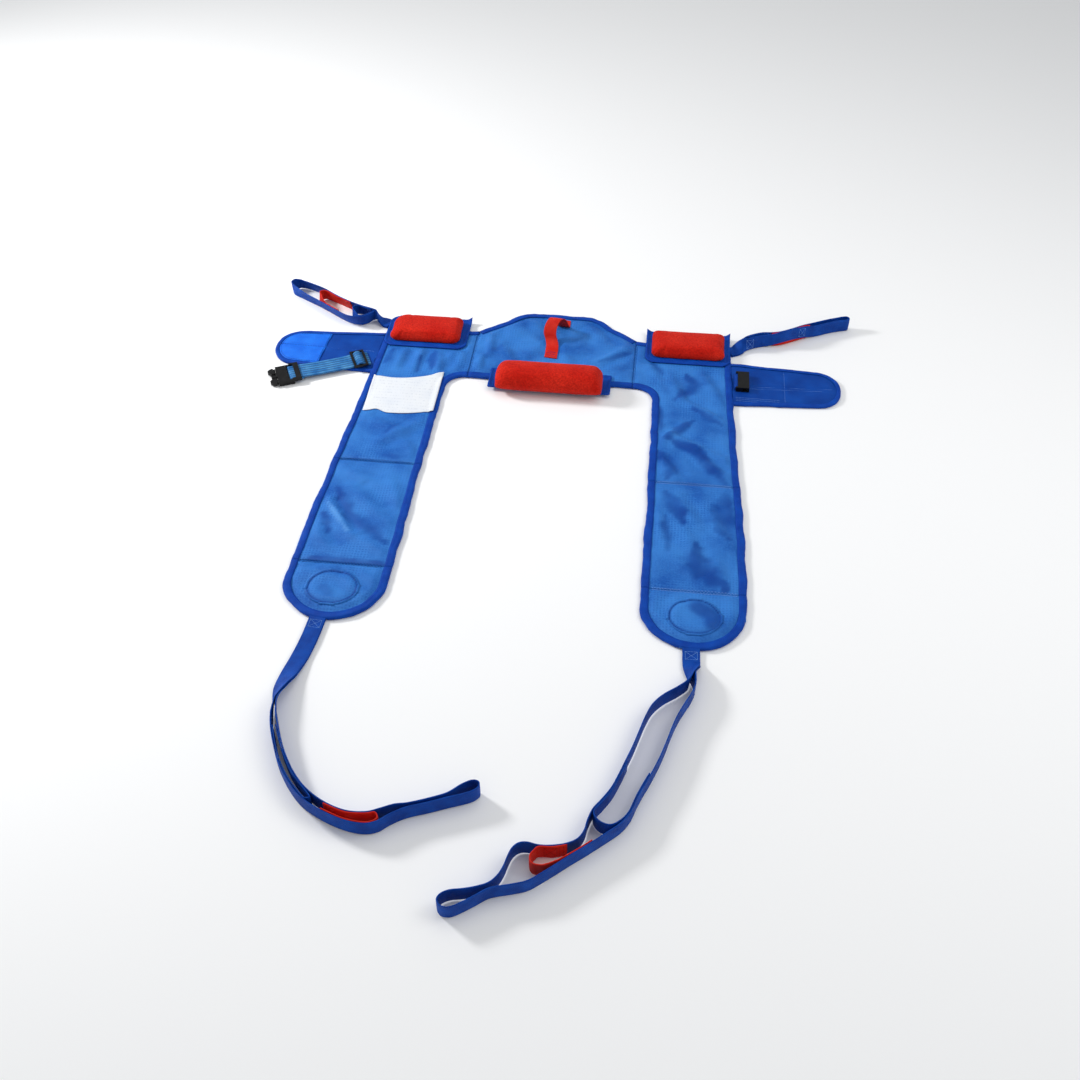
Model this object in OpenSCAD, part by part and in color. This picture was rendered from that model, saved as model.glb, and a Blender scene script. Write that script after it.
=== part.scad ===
// Padded transfer sling with a waist belt, laid out flat on its lining.
// Origin: centre of the back panel on its underside. +X to the right, +Y towards the shoulders,
// +Z up off the floor that it lies on. Millimetres.

/* [Panels] */
// Distance from the centre line to each side seam
seam_x = 190; // [186:1:194]
// Lower edge of the back panel, below the origin
back_drop = 112; // [108:1:114]
// Top of the back panel's crown, above the origin
crown_y = 158; // [154:1:164]
// First cross stitching of each leg, below the origin
fold_drop = 430; // [400:5:450]
// Second cross stitching of each leg, below the origin
tip_drop = 737; // [700:1:745]
// Radius of each leg's round end
tip_r = 101; // [98:1:102]
// Radius of the inner corner between the back panel and a leg
crotch_r = 42; // [36:1:44]

/* [Plies and binding] */
// Thickness of the foam-backed lining
lining_t = 4.4; // [3:0.1:5]
// Thickness of the outer mesh cover
cover_t = 1.5; // [1:0.1:2]
// Width of the binding tape seen on top
tape_w = 16; // [12:1:18]
// Thickness of the binding tape
tape_t = 1.2; // [0.8:0.1:1.4]

/* [Pads] */
// Length of each underarm pad
arm_pad_l = 178; // [170:2:184]
// Width of each underarm pad
arm_pad_w = 98; // [90:2:100]
// Height of the underarm pads' tops above the floor
arm_pad_top = 35; // [32:1:44]
// Length of the lumbar roll
roll_l = 246; // [230:2:260]
// Half the width of the lumbar roll
roll_rx = 45; // [42:1:48]
// Half the height of the lumbar roll before its flat underside
roll_rz = 28; // [26:1:34]

/* [Webbing] */
// Width of the strap webbing
web_w = 32; // [30:0.5:33]
// Thickness of all webbing
web_t = 2.2; // [2:0.1:2.4]
// Width of the waist strap's webbing
waist_w = 50; // [46:1:50]

/* [Belt] */
// Length of each belt flap
flap_l = 243; // [236:1:245]
// Half the height of a flap where it is sewn on
flap_root = 77; // [74:1:80]
// Half the height of a flap where its round end begins
flap_end = 65; // [62:1:68]
// Centre line of the left flap along the panel's edge
left_flap_y = -41; // [-44:1:-38]
// Centre line of the right flap along the panel's edge
right_flap_y = -72; // [-74:1:-68]
// Thickness of the padded flap
flap_t = 5; // [4:0.1:5]
// Angle of the waist strap below the flap's centre line
waist_angle = 25; // [24:1:26]

/* [Buckle] */
// Width of the buckle
buckle_w = 62; // [60:1:64]
// Height of the buckle plug
plug_h = 11; // [10:0.5:12]
// Radius of the plug's webbing bar
bar_r = 2.5; // [2.2:0.1:2.6]

/* [Hidden] */
$fn = 48;

// Colours
mesh_blue = [0.22, 0.45, 0.80];
lining_blue = [0.12, 0.30, 0.62];
tape_blue = [0.02, 0.28, 0.72];
belt_blue = [0.02, 0.25, 0.62];
hook_blue = [0.12, 0.48, 0.98];
waist_blue = [0.20, 0.48, 0.72];
fleece_red = [0.80, 0.14, 0.10];
web_red = [0.88, 0.20, 0.14];
foam_white = [0.88, 0.86, 0.78];
plastic_black = [0.05, 0.05, 0.06];

// Heights of the plies above the floor
ply_gap = 0.1;
cover_z = lining_t + ply_gap;
tape_z = cover_z + cover_t + ply_gap;
panel_top = tape_z + tape_t;
pad_z = panel_top + ply_gap;
backing_t = 1.6;
pad_base = pad_z + backing_t + ply_gap;
// How far the plies stop short of the binding's outer face
edge_t = 2;
// Gap on each side of a seam or a cross stitching
seam_gap = 0.5;

low_y = -back_drop;
fold_y = -fold_drop;
tip_line_y = -tip_drop;
seam_top_y = 68;
tip_centre = [343, -780];
far_away = 2000;

// ---------- plane geometry ----------

function unit(v) = v / norm(v);
function rounded(c, r, from, to, steps = 12) =
    [for (k = [0:steps]) let (a = from + (to - from) * k / steps) c + r * [cos(a), sin(a)]];
function ellipse_arc(c, rx, ry, from, to, steps = 12) =
    [for (k = [0:steps]) let (a = from + (to - from) * k / steps) c + [rx * cos(a), ry * sin(a)]];
function mirrored(pts) = [for (i = [len(pts) - 1:-1:0]) [-pts[i].x, pts[i].y]];
function rounded_box(lo, hi, r) = concat(
    rounded([hi.x - r, lo.y + r], r, -90, 0, 6), rounded([hi.x - r, hi.y - r], r, 0, 90, 6),
    rounded([lo.x + r, hi.y - r], r, 90, 180, 6), rounded([lo.x + r, lo.y + r], r, 180, 270, 6));

// A counter-clockwise outline moved inwards by d
function inset(pts, d) = [for (i = [0:len(pts) - 1])
    let (
        n = len(pts),
        a = unit(pts[i] - pts[(i + n - 1) % n]),
        b = unit(pts[(i + 1) % n] - pts[i]),
        na = [-a.y, a.x],
        nb = [-b.y, b.x]
    )
    pts[i] + d * (na + nb) / (1 + na * nb)];

// Back panel, drawn past both seams so that only its free edges are bound
crown_side = [[seam_x + 40, seam_top_y], [seam_x, seam_top_y], [160, 92], [128, 116],
    [100, crown_y - 14], [78, crown_y - 3]];
back_outline = concat([[-seam_x - 40, low_y], [seam_x + 40, low_y]], crown_side,
    [[0, crown_y]], mirrored(crown_side));

// Right side panel and leg in one outline, drawn past the seam
leg_outline = concat(
    [[seam_x - 40, low_y]],
    rounded([seam_x + 5, low_y - crotch_r], crotch_r, 90, 0),
    [[240, -430]],
    rounded(tip_centre, tip_r, 180, 360, 24),
    [[440, -600], [434, -450], [425, -300], [417, -120], [413, 10], [411, 76],
     [398, 90], [226, 84], [214, 64], [seam_x, seam_top_y], [seam_x - 40, seam_top_y]]);

// Belt flap, sewn edge at x = 0 and drawn past it
flap_round = 55;
flap_outline = concat([[-40, -flap_root - 3]],
    ellipse_arc([flap_l - flap_round, 0], flap_round, flap_end, -90, 90, 16),
    [[-40, flap_root + 3]]);

module x_band(lo, hi) { translate([lo, -far_away]) square([hi - lo, 2 * far_away]); }
module y_band(lo, hi) { translate([-far_away, lo]) square([2 * far_away, hi - lo]); }
module slab(z, t) { translate([0, 0, z]) linear_extrude(t) children(); }
module side(s) { if (s < 0) mirror([1, 0, 0]) children(); else children(); }

// One ply of a panel
module ply(outline, z, t) { slab(z, t) intersection() { polygon(inset(outline, edge_t)); children(); } }

// Binding tape: a band round the edge with a lip on top
module binding(outline, lip_w, lip_z, top)
{
    slab(0, top) intersection() {
        difference() { polygon(outline); polygon(inset(outline, edge_t - ply_gap)); }
        children();
    }
    slab(lip_z, top - lip_z) intersection() {
        difference() { polygon(outline); polygon(inset(outline, lip_w)); }
        children();
    }
}

// ---------- back panel ----------

padding_z = 1.5;
module back_bounds() { x_band(-seam_x + seam_gap, seam_x - seam_gap); }
module back_lining() { color(lining_blue) ply(back_outline, 0, padding_z - ply_gap) back_bounds(); }
module back_padding()
{
    color(foam_white) ply(back_outline, padding_z, cover_z - ply_gap - padding_z) back_bounds();
}
module back_cover() { color(mesh_blue) ply(back_outline, cover_z, cover_t) back_bounds(); }
module back_binding()
{
    color(tape_blue) binding(back_outline, tape_w, tape_z, panel_top) back_bounds();
}

// Lumbar roll over the lower edge: its profile is an ellipse with a flat underside
roll_flat = 50;
backing_end = 17;
roll_cy = low_y - 19;
roll_cz = pad_base + roll_rz * sin(roll_flat);
wall_t = 2;
module lumbar_backing()
{
    color(tape_blue) slab(pad_z, backing_t)
        polygon(rounded_box(
            [-roll_l / 2 - backing_end, low_y - 38],
            [roll_l / 2 + backing_end, low_y + 34],
            6));
}
module roll_prism(len, shrink, flat)
{
    translate([-len / 2, 0, 0]) rotate([90, 0, 90]) linear_extrude(len)
        polygon(ellipse_arc([roll_cy, roll_cz], roll_rx - shrink, roll_rz - shrink, -flat, 180 + flat, 24));
}
module lumbar_cover()
{
    color(fleece_red) difference() {
        roll_prism(roll_l, 0, roll_flat);
        roll_prism(roll_l - 2 * wall_t, wall_t, roll_flat);
        translate([0, roll_cy, pad_base]) cube([roll_l - 2 * wall_t, 40, 2 * wall_t + 2], center = true);
    }
}
module lumbar_foam()
{
    color(foam_white) intersection() {
        roll_prism(roll_l - 2 * wall_t - 1, wall_t + 0.3, roll_flat);
        translate([-roll_l, -far_away, pad_base]) cube([2 * roll_l, 2 * far_away, 100]);
    }
}

// ---------- side panels, legs and leg tips ----------

module side_bounds()
{
    intersection() { x_band(seam_x + seam_gap, far_away); y_band(fold_y + seam_gap, far_away); }
}
module leg_bounds() { y_band(tip_line_y + seam_gap, fold_y - seam_gap); }
module tip_bounds() { y_band(-far_away, tip_line_y - seam_gap); }

module side_lining(s) { color(lining_blue) side(s) ply(leg_outline, 0, lining_t) side_bounds(); }
module side_cover(s) { color(mesh_blue) side(s) ply(leg_outline, cover_z, cover_t) side_bounds(); }
module side_binding(s)
{
    color(tape_blue) side(s) binding(leg_outline, tape_w, tape_z, panel_top) side_bounds();
}
module leg_lining(s) { color(lining_blue) side(s) ply(leg_outline, 0, lining_t) leg_bounds(); }
module leg_cover(s) { color(mesh_blue) side(s) ply(leg_outline, cover_z, cover_t) leg_bounds(); }
module leg_binding(s)
{
    color(tape_blue) side(s) binding(leg_outline, tape_w, tape_z, panel_top) leg_bounds();
}
module tip_lining(s) { color(lining_blue) side(s) ply(leg_outline, 0, lining_t) tip_bounds(); }
module tip_cover(s) { color(mesh_blue) side(s) ply(leg_outline, cover_z, cover_t) tip_bounds(); }
module tip_binding(s)
{
    color(tape_blue) side(s) binding(leg_outline, tape_w, tape_z, panel_top) tip_bounds();
}
// Oval reinforcement where the strap's pull spreads into the leg
patch_centre = tip_centre + [2, -24];
patch_rx = 53;
patch_ry = 47;
module tip_patch(s)
{
    color(mesh_blue) side(s) slab(tape_z, tape_t)
        polygon(ellipse_arc(patch_centre, patch_rx, patch_ry, 0, 350, 35));
}

// Sewn care label on the left side panel, left blank
module care_label()
{
    color("white") slab(pad_z, 0.6)
        polygon([[-406, -123], [-409, -260], [-247, -254], [-250, -105]]);
}

// ---------- underarm pads ----------

arm_x0 = 222;
arm_y0 = 0;
backing_rim = 10;
pad_corner = 18;
pad_step = 8;
arm_lo = [arm_x0, arm_y0];
arm_hi = [arm_x0 + arm_pad_l, arm_y0 + arm_pad_w];
module arm_backing(s)
{
    rim = [backing_rim, backing_rim];
    color(tape_blue) side(s) slab(pad_z, backing_t) polygon(concat(
        rounded([arm_lo.x + 14, arm_lo.y + 10], 24, 180, 270, 6),
        rounded([arm_hi.x - 14, arm_lo.y + 10], 24, 270, 360, 6),
        [arm_hi + rim, [arm_lo.x, arm_hi.y] + [-backing_rim, backing_rim]]));
}
module pad_solid(shrink, z0)
{
    slab(z0, arm_pad_top - pad_step - shrink - z0)
        polygon(rounded_box(arm_lo + shrink * [1, 1], arm_hi - shrink * [1, 1], pad_corner));
    slab(z0, arm_pad_top - shrink - z0)
        polygon(rounded_box(arm_lo + (shrink + pad_step) * [1, 1], arm_hi - (shrink + pad_step) * [1, 1],
            pad_corner));
}
module arm_cover(s)
{
    color(fleece_red) side(s) difference() {
        pad_solid(0, pad_base);
        pad_solid(wall_t, pad_base - 1);
    }
}
module arm_foam(s) { color(foam_white) side(s) pad_solid(wall_t + 0.3, pad_base); }

// ---------- webbing ----------

// A station of webbing is [centre point, width direction]. Stations are joined by smooth curves.
ring_step = 15;
// Clearance under webbing that lies on the floor
web_lift = 1.2;
function at(list, i) = list[max(0, min(len(list) - 1, i))];
function reversed(list) = [for (i = [len(list) - 1:-1:0]) list[i]];
function heading(st, i) = unit(at(st, i + 1)[0] - at(st, i - 1)[0]);
function curve(a, b, c, d, t) = b + 0.5 * t * (c - a + t * (2 * a - 5 * b + 4 * c - d
    + t * (3 * (b - c) + d - a)));
function smooth(st) = concat(
    [for (i = [0:len(st) - 2])
        let (steps = max(2, ceil(norm(st[i + 1][0] - st[i][0]) / ring_step)))
        for (k = [0:steps - 1])
            let (t = k / steps)
            [curve(at(st, i - 1)[0], st[i][0], st[i + 1][0], at(st, i + 2)[0], t),
             unit(st[i][1] * (1 - t) + st[i + 1][1] * t)]],
    [st[len(st) - 1]]);

// Stations for webbing that lies on the floor, from [x, y, turn, lift].
// Turn 0 lies flat and 90, which is also meant when it is left out, stands on edge.
function laid(route, layers = 1) = [for (i = [0:len(route) - 1])
    let (
        p = route[i],
        ahead = at(route, i + 1),
        behind = at(route, i - 1),
        t = unit([ahead.x - behind.x, ahead.y - behind.y]),
        turn = len(p) > 2 ? p[2] : 90,
        lift = len(p) > 3 ? p[3] : 0,
        z = web_w / 2 * sin(turn) + layers * (web_t / 2 + 0.2) * cos(turn) + lift + web_lift
    )
    [[p.x, p.y, z], [-t.y * cos(turn), t.x * cos(turn), sin(turn)]]];

// The same webbing moved sideways off its face, to the right of travel when on edge
function beside(st, d) = [for (i = [0:len(st) - 1])
    [st[i][0] + d * unit(cross(heading(st, i), st[i][1])), st[i][1]]];
function part_of(list, from, to) = [for (i = [from:to]) list[i]];

module ribbon(stations, w, t)
{
    rings = smooth(stations);
    n = len(rings);
    points = [for (i = [0:n - 1])
        let (
            c = rings[i][0],
            across = rings[i][1] * w / 2,
            off = unit(cross(heading(rings, i), rings[i][1])) * t / 2
        )
        each [c + across + off, c - across + off, c - across - off, c + across - off]];
    // Opposite faces share one diagonal, and so do two strands of a folded strap that lie together
    sides = [for (i = [0:n - 2]) for (k = [0:3])
        let (a = 4 * i + k, b = 4 * i + (k + 1) % 4, rising = (k < 2) != (i >= floor(n / 2)))
        each (rising ? [[a, b, b + 4], [a, b + 4, a + 4]] : [[a, b, a + 4], [b, b + 4, a + 4]])];
    e = 4 * n - 4;
    caps = [[3, 2, 1], [3, 1, 0], [e, e + 1, e + 2], [e, e + 2, e + 3]];
    polyhedron(points, concat(sides, caps));
}

// Two strands leave together as a trunk, part, and join again at the loop's end
strand_gap = web_t / 2 + 0.7;
leg_in = web_t + 0.6;
function long_loop(trunk, near, far) = concat(
    beside(laid(trunk, 2), strand_gap), laid(near), reversed(laid(far)),
    reversed(beside(laid(trunk, 2), -strand_gap)));
// A short loop is sewn between the strands along parts of both, and bulges out at its end
function short_loop(near, far, turn) = concat(
    beside(laid(near), -leg_in), laid(turn), reversed(beside(laid(far), leg_in)));

// Left leg strap
ll_trunk = [[-355, -884, 0], [-358, -930, 0], [-364, -975, 0], [-372, -1018, 12], [-378, -1055, 38],
    [-377, -1090, 76]];
ll_near = [[-374, -1122], [-366, -1152], [-352, -1186], [-335, -1220], [-310, -1255], [-281, -1284],
    [-244, -1305], [-205, -1319], [-172, -1323], [-150, -1317], [-131, -1301], [-108, -1286], [-75, -1273],
    [-45, -1260], [-22, -1251], [-6, -1243], [3, -1233]];
ll_far = [[-366, -1121], [-355, -1148], [-341, -1178], [-324, -1209], [-301, -1242], [-274, -1269],
    [-240, -1290], [-203, -1302], [-170, -1301], [-148, -1292], [-127, -1282], [-106, -1277], [-75, -1265],
    [-46, -1251], [-26, -1233], [-10, -1223], [1, -1224]];
ll_short_turn = [[-272, -1286], [-265, -1284], [-268, -1279]];
ll_red_turn = [[-157, -1317], [-149, -1309], [-155, -1300]];

// Right leg strap
rl_trunk = [[341, -884, 0], [342, -912, 0], [343, -935, 40], [343, -953, 75]];
rl_near = [[336, -972], [318, -991], [294, -1011], [276, -1034], [265, -1062], [256, -1094], [247, -1126],
    [237, -1156], [227, -1186], [217, -1212], [203, -1236], [191, -1254], [184, -1275], [180, -1296],
    [171, -1312], [155, -1322], [134, -1328], [112, -1330], [93, -1327], [80, -1330], [71, -1340],
    [66, -1355], [62, -1372], [55, -1389], [43, -1403], [24, -1412], [4, -1418], [-14, -1422],
    [-26, -1429], [-31, -1439]];
rl_far = [[349, -978], [342, -1003], [332, -1024], [320, -1052], [311, -1080], [303, -1110], [293, -1143],
    [280, -1178], [268, -1206], [259, -1230], [251, -1254], [237, -1276], [215, -1297], [196, -1314],
    [180, -1328], [163, -1342], [145, -1358], [124, -1376], [102, -1393], [78, -1402], [57, -1408],
    [42, -1414], [24, -1428], [6, -1441], [-10, -1450], [-24, -1449]];
rl_short_turn = [[194, -1266], [204, -1277], [221, -1281], [237, -1270]];
rl_red_turn = [[142, -1354], [121, -1364], [105, -1362], [100, -1350], [106, -1339]];

// Left shoulder strap
lu_trunk = [[-421, 82, 0], [-432, 87, 25], [-443, 94, 70]];
lu_near = [[-456, 103, 72], [-480, 113, 68], [-512, 127, 68], [-550, 149, 68], [-588, 176, 68],
    [-619, 192, 68], [-648, 204, 70], [-666, 208, 75], [-677, 202, 90], [-680, 190, 95]];
lu_far = [[-452, 90, 75], [-464, 74, 75], [-482, 65, 72], [-508, 69, 68], [-536, 85, 68],
    [-573, 111, 68], [-604, 132, 68], [-627, 146, 70], [-654, 165, 78], [-671, 178, 88]];
lu_short_turn = [[-497, 111, 72], [-505, 98], [-500, 82, 75]];
lu_red_turn = [[-588, 166, 70], [-600, 157], [-597, 142, 75]];

// Right shoulder strap
ru_trunk = [[421, 57, 0], [432, 62, 25], [443, 68, 70]];
ru_near = [[456, 72], [472, 81], [489, 88], [510, 91, 90, 4], [532, 97, 90, 9], [560, 113, 90, 9],
    [588, 131, 90, 4], [612, 143], [645, 160], [668, 170], [684, 175], [693, 181]];
ru_far = [[450, 82], [466, 92], [484, 100], [506, 103], [527, 109], [554, 124], [582, 142], [606, 154],
    [639, 171], [662, 181], [676, 187], [688, 189]];
ru_short_turn = [[496, 92], [500, 95], [495, 98]];
ru_red_turn = [[593, 138], [597, 142], [591, 143]];

module strap(stations, shade) { color(shade) ribbon(stations, web_w, web_t); }
module left_leg_strap() { strap(long_loop(ll_trunk, ll_near, ll_far), tape_blue); }
module left_leg_short_loop()
{
    strap(short_loop(part_of(ll_near, 1, 5), part_of(ll_far, 1, 5), ll_short_turn), tape_blue);
}
module left_leg_red_loop()
{
    strap(short_loop(part_of(ll_near, 6, 8), part_of(ll_far, 6, 8), ll_red_turn), web_red);
}
module right_leg_strap() { strap(long_loop(rl_trunk, rl_near, rl_far), tape_blue); }
module right_leg_short_loop()
{
    strap(short_loop(part_of(rl_near, 7, 11), part_of(rl_far, 7, 10), rl_short_turn), tape_blue);
}
module right_leg_red_loop()
{
    strap(concat(beside(laid(part_of(rl_near, 15, 17)), -leg_in), laid(reversed(rl_red_turn)),
        reversed(beside(laid(part_of(rl_far, 13, 15)), leg_in))), web_red);
}
module left_shoulder_strap() { strap(long_loop(lu_trunk, lu_near, lu_far), tape_blue); }
module left_shoulder_short_loop()
{
    strap(short_loop(part_of(lu_near, 0, 1), part_of(lu_far, 0, 2), lu_short_turn), tape_blue);
}
module left_shoulder_red_loop()
{
    strap(short_loop(part_of(lu_near, 2, 3), part_of(lu_far, 4, 5), lu_red_turn), web_red);
}
module right_shoulder_strap() { strap(long_loop(ru_trunk, ru_near, ru_far), tape_blue); }
module right_shoulder_short_loop()
{
    strap(short_loop(part_of(ru_near, 0, 2), part_of(ru_far, 0, 2), ru_short_turn), tape_blue);
}
module right_shoulder_red_loop()
{
    near = [for (p = part_of(ru_near, 3, 6)) [p.x, p.y]];
    strap(short_loop(near, part_of(ru_far, 3, 6), ru_red_turn), web_red);
}

// Carrying handle: both ends sewn flat to the cover, with a kinked arch between them
handle_z = tape_z + web_t / 2 + 0.45;
handle_route = [[-8, -22, handle_z], [-8, 8, handle_z], [-9, 26, handle_z + 1], [-13, 40, 15],
    [-17, 51, 28], [-14, 64, 42], [-6, 78, 49], [3, 90, 40], [8, 98, 22], [11, 106, 10],
    [11, 115, handle_z], [11, 134, handle_z]];
handle_across = [1, -0.12, 0];
module carry_handle()
{
    color(web_red) ribbon([for (p = handle_route) [p, unit(handle_across)]], web_w - 2, web_t);
}

// ---------- belt ----------

flap_x = 419;
flap_tape_w = 10;
flap_tape_z = flap_t + ply_gap;
flap_top = flap_tape_z + tape_t;
hook_x = 123;
hook_slant = 6;
module on_flap(s) { side(s) translate([flap_x, s < 0 ? left_flap_y : right_flap_y, 0]) children(); }
module belt_flap(s) { color(belt_blue) on_flap(s) ply(flap_outline, 0, flap_t) x_band(0, far_away); }
module belt_binding(s)
{
    color(tape_blue) on_flap(s) binding(flap_outline, flap_tape_w, flap_tape_z, flap_top)
        x_band(0, far_away);
}
// Hook tape patch on the end of the left flap
module left_hook_patch()
{
    color(hook_blue) on_flap(-1) slab(flap_tape_z, tape_t) intersection() {
        polygon(inset(flap_outline, flap_tape_w + 1));
        polygon([[hook_x - hook_slant, 100], [hook_x + hook_slant, -100], [far_away, -100], [far_away, 100]]);
    }
}

// ---------- waist strap, slider and buckle plug ----------

// Along the waist strap: x from the sewn end to the buckle, z up
waist_origin = [-430, -73];
module along_waist() { translate([waist_origin.x, waist_origin.y, 0]) rotate(180 + waist_angle) children(); }
slider_x = 7;
slider_z = 13.5;
slider_t = 3.4;
slot_l = 9;
cross_bar = 5;
thread = slider_t / 2 + web_t / 2 + 0.4;
bar_x = 184.5;
bar_z = 6.8;
wrap_r = bar_r + 0.4 + web_t / 2;
slider_mid = slider_x + cross_bar + slot_l + cross_bar / 2;
// Hem where the strap's folded end is sewn down, and where the strap bends
hem_x = bar_x - 31.5;
hem_z = 10.5;
waist_route = [
    [0, 9.2],
    [slider_x + 1, slider_z - thread],
    [slider_x + cross_bar + 1.5, slider_z - thread + 0.6],
    [slider_mid - 3.5, slider_z + thread - 0.2],
    [slider_mid, slider_z + thread],
    [slider_mid + 3.5, slider_z + thread - 0.2],
    [slider_mid + cross_bar / 2 + slot_l - 1.5, slider_z - thread + 0.6],
    [slider_mid + slot_l + cross_bar + 3, slider_z - thread],
    [60, 9.2],
    [hem_x - 33, 9],
    [hem_x, hem_z]];
// The same strip of webbing past the hem, where the doubled end turns with the plug:
// over the plug's bar and back underneath
end_route = concat([[hem_x + 0.8, hem_z], [bar_x - 10.5, bar_z + wrap_r]],
    [for (a = [90:-30:-90]) [bar_x + wrap_r * cos(a), bar_z + wrap_r * sin(a)]],
    [[bar_x - 7.5, 3.4], [bar_x - 13.5, 5.6], [bar_x - 19.5, 7.3], [bar_x - 27.5, 7.5]]);
module waist_ribbon(route)
{
    color(waist_blue) along_waist() ribbon([for (p = route) [[p.x, 0, p.y], [0, 1, 0]]], waist_w, web_t);
}
module waist_strap() { waist_ribbon(waist_route); }
module strap_end() { waist_ribbon(end_route); }
slider_l = 3 * cross_bar + 2 * slot_l;
module strap_slider()
{
    color(plastic_black) along_waist() translate([slider_x, 0, slider_z]) difference() {
        translate([0, -buckle_w / 2, -slider_t / 2]) cube([slider_l, buckle_w, slider_t]);
        for (k = [0, 1])
            translate([cross_bar + k * (slot_l + cross_bar), -waist_w / 2 - 1, -slider_t])
                cube([slot_l, waist_w + 2, 2 * slider_t]);
    }
}

// Plug: webbing bar between two rails, a keeper bar over the webbing, a block, a guide tongue,
// and two sprung prongs
keeper_x = -21;
keeper_l = 12;
keeper_z = 7;
keeper_top = 15.5;
keeper_t = 3;
rail_w = 5;
block_x = 6.5;
block_l = 25;
tongue_l = 14;
plug_z0 = bar_z - plug_h / 2;
prong_x = block_x + block_l + 0.6;
prong_y = 23;
prong_l = 17.6;
prong_in = 14;
barb_x = 4.2;
prong_h = 7;
module at_bar() { along_waist() translate([bar_x, 0, 0]) children(); }
module buckle_plug()
{
    color(plastic_black) at_bar() {
        translate([0, -buckle_w / 2 + 1, bar_z]) rotate([-90, 0, 0]) cylinder(h = buckle_w - 2, r = bar_r);
        for (s = [-1, 1])
            translate([-4, s > 0 ? buckle_w / 2 - rail_w : -buckle_w / 2, plug_z0])
                cube([block_x + 5, rail_w, plug_h]);
        for (s = [-1, 1])
            translate([keeper_x, s > 0 ? buckle_w / 2 - rail_w : -buckle_w / 2, keeper_z])
                cube([-keeper_x, rail_w, keeper_top - keeper_z]);
        translate([keeper_x, -buckle_w / 2, keeper_top - keeper_t])
            cube([keeper_l, buckle_w, keeper_t]);
        translate([block_x, -buckle_w / 2, plug_z0]) cube([block_l, buckle_w, plug_h]);
        translate([block_x + block_l - 1, -4, bar_z - 2]) cube([tongue_l, 8, 4]);
    }
}
// A prong: broad arm with a barbed head. It pivots at its root, whose inner corner is cut back
// so that it stays clear of the block as the prong is pressed in.
module prong(s)
{
    color(plastic_black) at_bar() translate([prong_x, s * prong_y, bar_z - prong_h / 2])
        linear_extrude(prong_h) polygon([for (p = [[0, -2.5], [2.2, -prong_in], [prong_l - 7, -prong_in],
            [prong_l, -6], [prong_l, 0], [barb_x + 8.5, 4.6], [barb_x + 1, 7.5],
            [barb_x, 2.5], [0, 2.5]]) [p.x, s * p.y]]);
}

// ---------- buckle socket ----------

socket_y = right_flap_y;
tab_bar_r = 2.2;
tab_bar = [426.5, flap_top + 5.6];
socket_x0 = 423;
socket_mouth = 453;
socket_z0 = flap_top + 0.3;
socket_h = 12.4;
socket_wall = 2.4;
block_x0 = 432;
// Short roof over the webbing tab
roof_x0 = 427;
roof_t = 1.6;
module buckle_socket()
{
    color(plastic_black) translate([0, socket_y, 0]) {
        translate([tab_bar.x, -buckle_w / 2 + 1, tab_bar.y]) rotate([-90, 0, 0])
            cylinder(h = buckle_w - 2, r = tab_bar_r);
        for (s = [-1, 1])
            translate([socket_x0, s > 0 ? buckle_w / 2 - rail_w : -buckle_w / 2, socket_z0])
                cube([block_x0 - socket_x0 + 1, rail_w, socket_h]);
        translate([roof_x0, -buckle_w / 2, socket_z0 + socket_h - roof_t])
            cube([block_x0 - roof_x0 + 1, buckle_w, roof_t]);
        difference() {
            translate([block_x0, -buckle_w / 2, socket_z0])
                cube([socket_mouth - block_x0, buckle_w, socket_h]);
            translate([block_x0 + socket_wall, -buckle_w / 2 + socket_wall, socket_z0 + socket_wall])
                cube([40, buckle_w - 2 * socket_wall, socket_h - 2 * socket_wall]);
            for (s = [-1, 1])
                translate([block_x0 + 7, s * buckle_w / 2 - 5, socket_z0 + socket_wall])
                    cube([10, 10, socket_h - 2 * socket_wall]);
        }
    }
}
// Webbing tab that holds the socket's bar
tab_r = tab_bar_r + 0.4 + web_t / 2;
tab_route = concat([[420, flap_top + 1.5], [423.5, tab_bar.y - tab_r + 0.1]],
    [for (a = [-90:30:90]) tab_bar + tab_r * [cos(a), sin(a)]],
    [[423, tab_bar.y + 2.6], [420.4, flap_top + 4.6]]);
module socket_tab()
{
    color(waist_blue) translate([0, socket_y, 0])
        ribbon([for (p = tab_route) [[p.x, 0, p.y], [0, 1, 0]]], waist_w, web_t);
}

back_lining();
back_padding();
back_cover();
back_binding();
lumbar_backing();
lumbar_foam();
lumbar_cover();
carry_handle();
care_label();
side_lining(-1);  // left_side_lining
side_cover(-1);  // left_side_cover
side_binding(-1);  // left_side_binding
side_lining(1);  // right_side_lining
side_cover(1);  // right_side_cover
side_binding(1);  // right_side_binding
arm_backing(-1);  // left_arm_backing
arm_foam(-1);  // left_arm_foam
arm_cover(-1);  // left_arm_cover
arm_backing(1);  // right_arm_backing
arm_foam(1);  // right_arm_foam
arm_cover(1);  // right_arm_cover
leg_lining(-1);  // left_leg_lining
leg_cover(-1);  // left_leg_cover
leg_binding(-1);  // left_leg_binding
leg_lining(1);  // right_leg_lining
leg_cover(1);  // right_leg_cover
leg_binding(1);  // right_leg_binding
tip_lining(-1);  // left_tip_lining
tip_cover(-1);  // left_tip_cover
tip_binding(-1);  // left_tip_binding
tip_patch(-1);  // left_tip_patch
tip_lining(1);  // right_tip_lining
tip_cover(1);  // right_tip_cover
tip_binding(1);  // right_tip_binding
tip_patch(1);  // right_tip_patch
left_leg_strap();
left_leg_short_loop();
left_leg_red_loop();
right_leg_strap();
right_leg_short_loop();
right_leg_red_loop();
left_shoulder_strap();
left_shoulder_short_loop();
left_shoulder_red_loop();
right_shoulder_strap();
right_shoulder_short_loop();
right_shoulder_red_loop();
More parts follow.
